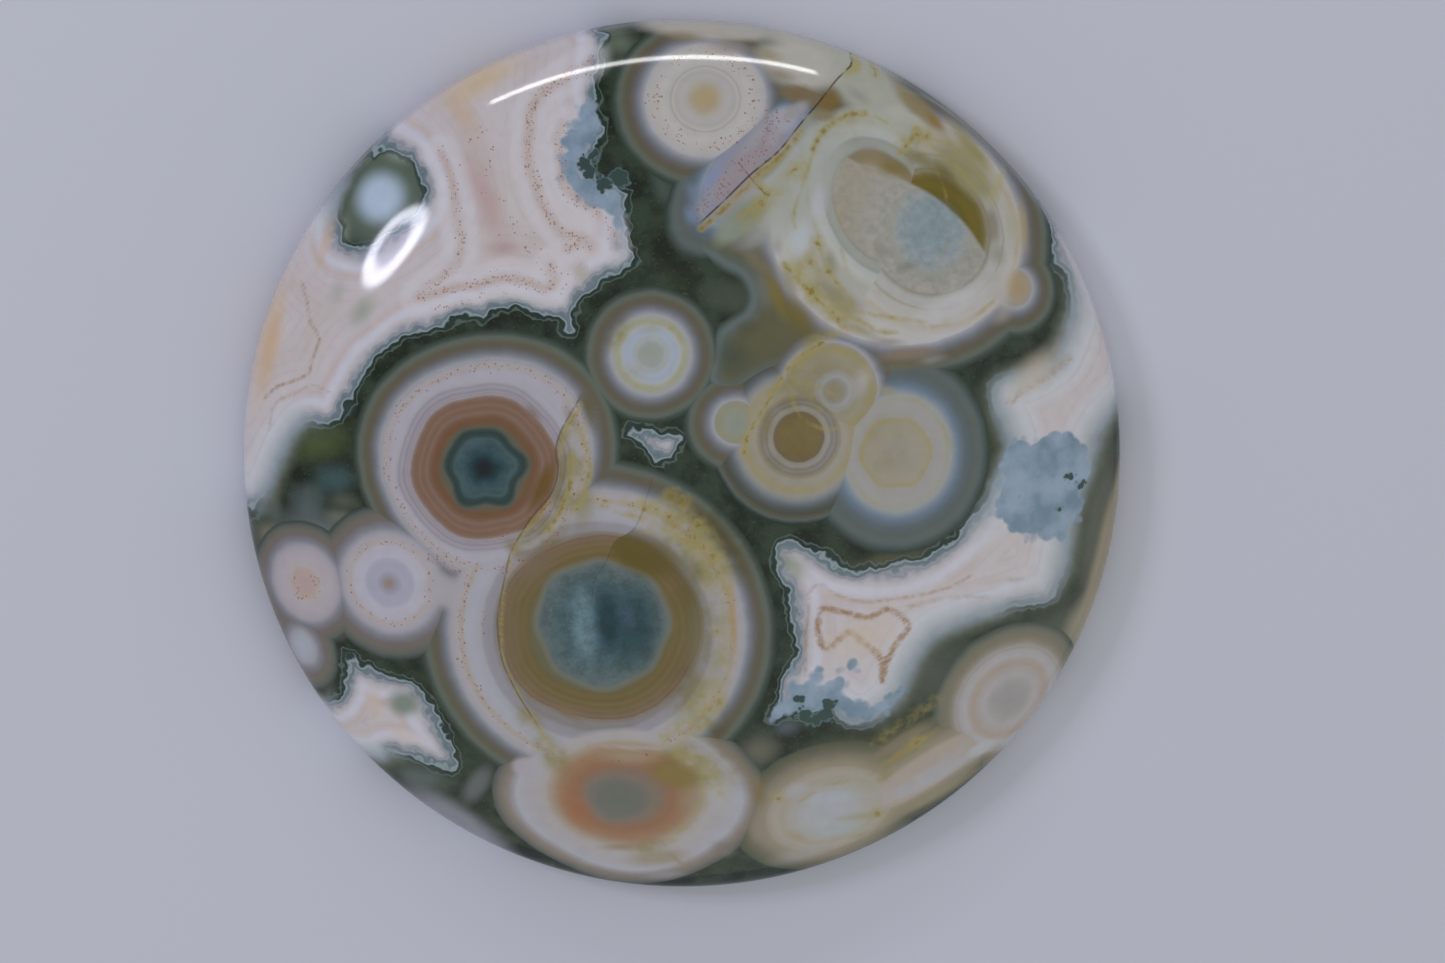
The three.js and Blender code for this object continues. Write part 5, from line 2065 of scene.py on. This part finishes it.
@dataclass
class Studio:
    """The pale floor, the soft lights and the camera. Lengths are in metres.

    Attributes:
        tilt_deg: how far the camera leans from straight above, towards the top of the face.
        distance: from the camera to the point it looks at.
        aim: that point.
        frame_width: how wide the view is there.
        sensor: width of the camera's sensor, in millimetres.
        floor_size: width of the floor.
        floor_colour: its linear colour.
        air_glow: how bright the air is.
        air_slope: how much brighter it is towards each axis.
    """

    tilt_deg: float = 10.0
    distance: float = 0.3
    aim: Place = (0.002077, -0.00119, 0.001)
    frame_width: float = 1445 / 19.5 * MM
    sensor: float = 36.0
    floor_size: float = 3.0
    floor_colour: Colour = (0.752, 0.764, 0.885)
    air_glow: float = 0.445
    air_slope: Place = (0.156, -0.224, 0.0)

    def look(self, thing: bpy.types.Object, target: Place, upwards: Place, roll_deg: float = 0.0) -> None:
        """Turn a light or camera so that its -Z faces a target and its +Y stays upwards.

        Args:
            thing: the light or camera, already in its place.
            target: the point that it faces.
            upwards: the direction that its +Y keeps to.
            roll_deg: turn about the line to the target, from its +X towards its +Y.
        """
        back = np.array(thing.location) - np.array(target)
        back /= np.linalg.norm(back)
        side = np.cross(upwards, back)
        side /= np.linalg.norm(side)
        up = np.cross(back, side)
        roll = math.radians(roll_deg)
        across = side * math.cos(roll) + up * math.sin(roll)
        turned = np.stack((across, np.cross(back, across), back), axis=1)
        rows = [[*turned[row], thing.location[row]] for row in range(3)]
        thing.matrix_world = Matrix(rows + [[0.0, 0.0, 0.0, 1.0]])

    def camera(self) -> None:
        """Place the camera over the face, a little towards its top."""
        lens = bpy.data.cameras.new("camera")
        lens.sensor_width = self.sensor
        lens.lens = self.sensor * self.distance / self.frame_width
        thing = bpy.data.objects.new("camera", lens)
        bpy.context.collection.objects.link(thing)
        tilt = math.radians(self.tilt_deg)
        thing.location = (
            self.aim[0],
            self.aim[1] + self.distance * math.sin(tilt),
            self.aim[2] + self.distance * math.cos(tilt),
        )
        self.look(thing, self.aim, (0.0, 1.0, 0.0))
        bpy.context.scene.camera = thing

    def floor(self) -> None:
        """Lay the plain pale floor."""
        half = self.floor_size / 2
        mesh = bpy.data.meshes.new("floor")
        corners = [(-half, -half, 0.0), (half, -half, 0.0), (half, half, 0.0), (-half, half, 0.0)]
        mesh.from_pydata(corners, [], [(0, 1, 2, 3)])
        thing = bpy.data.objects.new("floor", mesh)
        bpy.context.collection.objects.link(thing)
        paint = bpy.data.materials.new("pale_floor")
        paint.use_nodes = True
        surface = paint.node_tree.nodes["Principled BSDF"]
        surface.inputs["Base Color"].default_value = (*self.floor_colour, 1.0)
        surface.inputs["Roughness"].default_value = 0.9
        surface.inputs["Specular IOR Level"].default_value = 0.1
        mesh.materials.append(paint)

    def panel(
        self, name: str, bearing_deg: float, height_deg: float, away: float, size: Point,
        glow: float, roll_deg: float = 0.0,
    ) -> bpy.types.Object:
        """Hang a soft rectangular lamp that faces the stone.

        Args:
            name: the lamp's name.
            bearing_deg: bearing from +Y towards +X.
            height_deg: height over the horizon.
            away: distance from the stone.
            size: width and height of the lamp.
            glow: how bright its face is.
            roll_deg: turn about the line to the stone.

        Returns:
            The lamp.
        """
        lamp = bpy.data.lights.new(name, "AREA")
        lamp.shape = "RECTANGLE"
        lamp.size, lamp.size_y = size
        lamp.energy = glow * math.pi * size[0] * size[1]
        thing = bpy.data.objects.new(name, lamp)
        bpy.context.collection.objects.link(thing)
        bearing, height = math.radians(bearing_deg), math.radians(height_deg)
        level = away * math.cos(height)
        thing.location = (level * math.sin(bearing), level * math.cos(bearing), away * math.sin(height))
        self.look(thing, (0.0, 0.0, 0.0), (0.0, 0.0, 1.0), roll_deg)
        return thing

    def round_lamp(self) -> None:
        """Hang the round lamp at the upper left, bright at its rim and dim blue in its middle."""
        thing = self.panel("round_lamp", -61.6, 40.0, 0.577, (0.152, 0.152), 13.2)
        lamp = thing.data
        lamp.shape = "DISK"
        lamp.use_nodes = True
        bench = NodeBench(lamp.node_tree)
        lamp.node_tree.nodes.clear()
        across = bench.node("ShaderNodeNewGeometry").outputs["Parametric"]
        apart = bench.node("ShaderNodeSeparateXYZ")
        bench.feed(apart.inputs[0], across)
        first = bench.minus(apart.outputs["X"], 0.5)
        second = bench.minus(apart.outputs["Y"], 0.5)
        squares = bench.times(first, first)
        squares = bench.line(second, second, squares)
        out = bench.math("SQRT", squares)
        rim = bench.ease(out, 0.18, 0.32)
        glow = bench.node("ShaderNodeEmission")
        tone = bench.mix(rim, (0.10, 0.11, 0.17), (0.86, 0.86, 1.0))
        bench.feed(glow.inputs["Color"], tone)
        bench.feed(glow.inputs["Strength"], bench.ease(out, 0.5, 0.38))
        output = bench.node("ShaderNodeOutputLight")
        lamp.node_tree.links.new(glow.outputs[0], output.inputs["Surface"])

    def lights(self) -> None:
        """Light the stone softly from all round, with a thin lamp behind it and a round one beside.

        The air glows more from the side away from the two lamps, so that the face is lit evenly; the
        shade of each place is painted into the stone's colours instead.
        """
        world = bpy.data.worlds.new("studio_air")
        bpy.context.scene.world = world
        world.use_nodes = True
        air = world.node_tree.nodes["Background"]
        air.inputs["Color"].default_value = (0.973, 1.0, 0.965, 1.0)
        bench = NodeBench(world.node_tree)
        slope = bench.node("ShaderNodeVectorMath", operation="DOT_PRODUCT")
        bench.feed(slope.inputs[0], bench.node("ShaderNodeTexCoord").outputs["Generated"])
        slope.inputs[1].default_value = self.air_slope
        bench.feed(air.inputs["Strength"], bench.plus(slope.outputs["Value"], self.air_glow))
        self.panel("strip", -5.3, 25.4, 0.6, (0.555, 0.016), 15.0, 2.0)
        self.round_lamp()

    def build(self) -> None:
        """Set up the whole studio."""
        self.camera()
        self.floor()
        self.lights()
        bpy.context.scene.view_settings.view_transform = "Standard"
        LOG.info("studio: camera, floor and lights")


def main() -> None:
    """Build the studio and the stone."""
    logging.basicConfig(level=logging.INFO, format="%(name)s: %(message)s")
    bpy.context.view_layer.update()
    Studio().build()
    Stone().build()


if __name__ == "__main__":
    main()
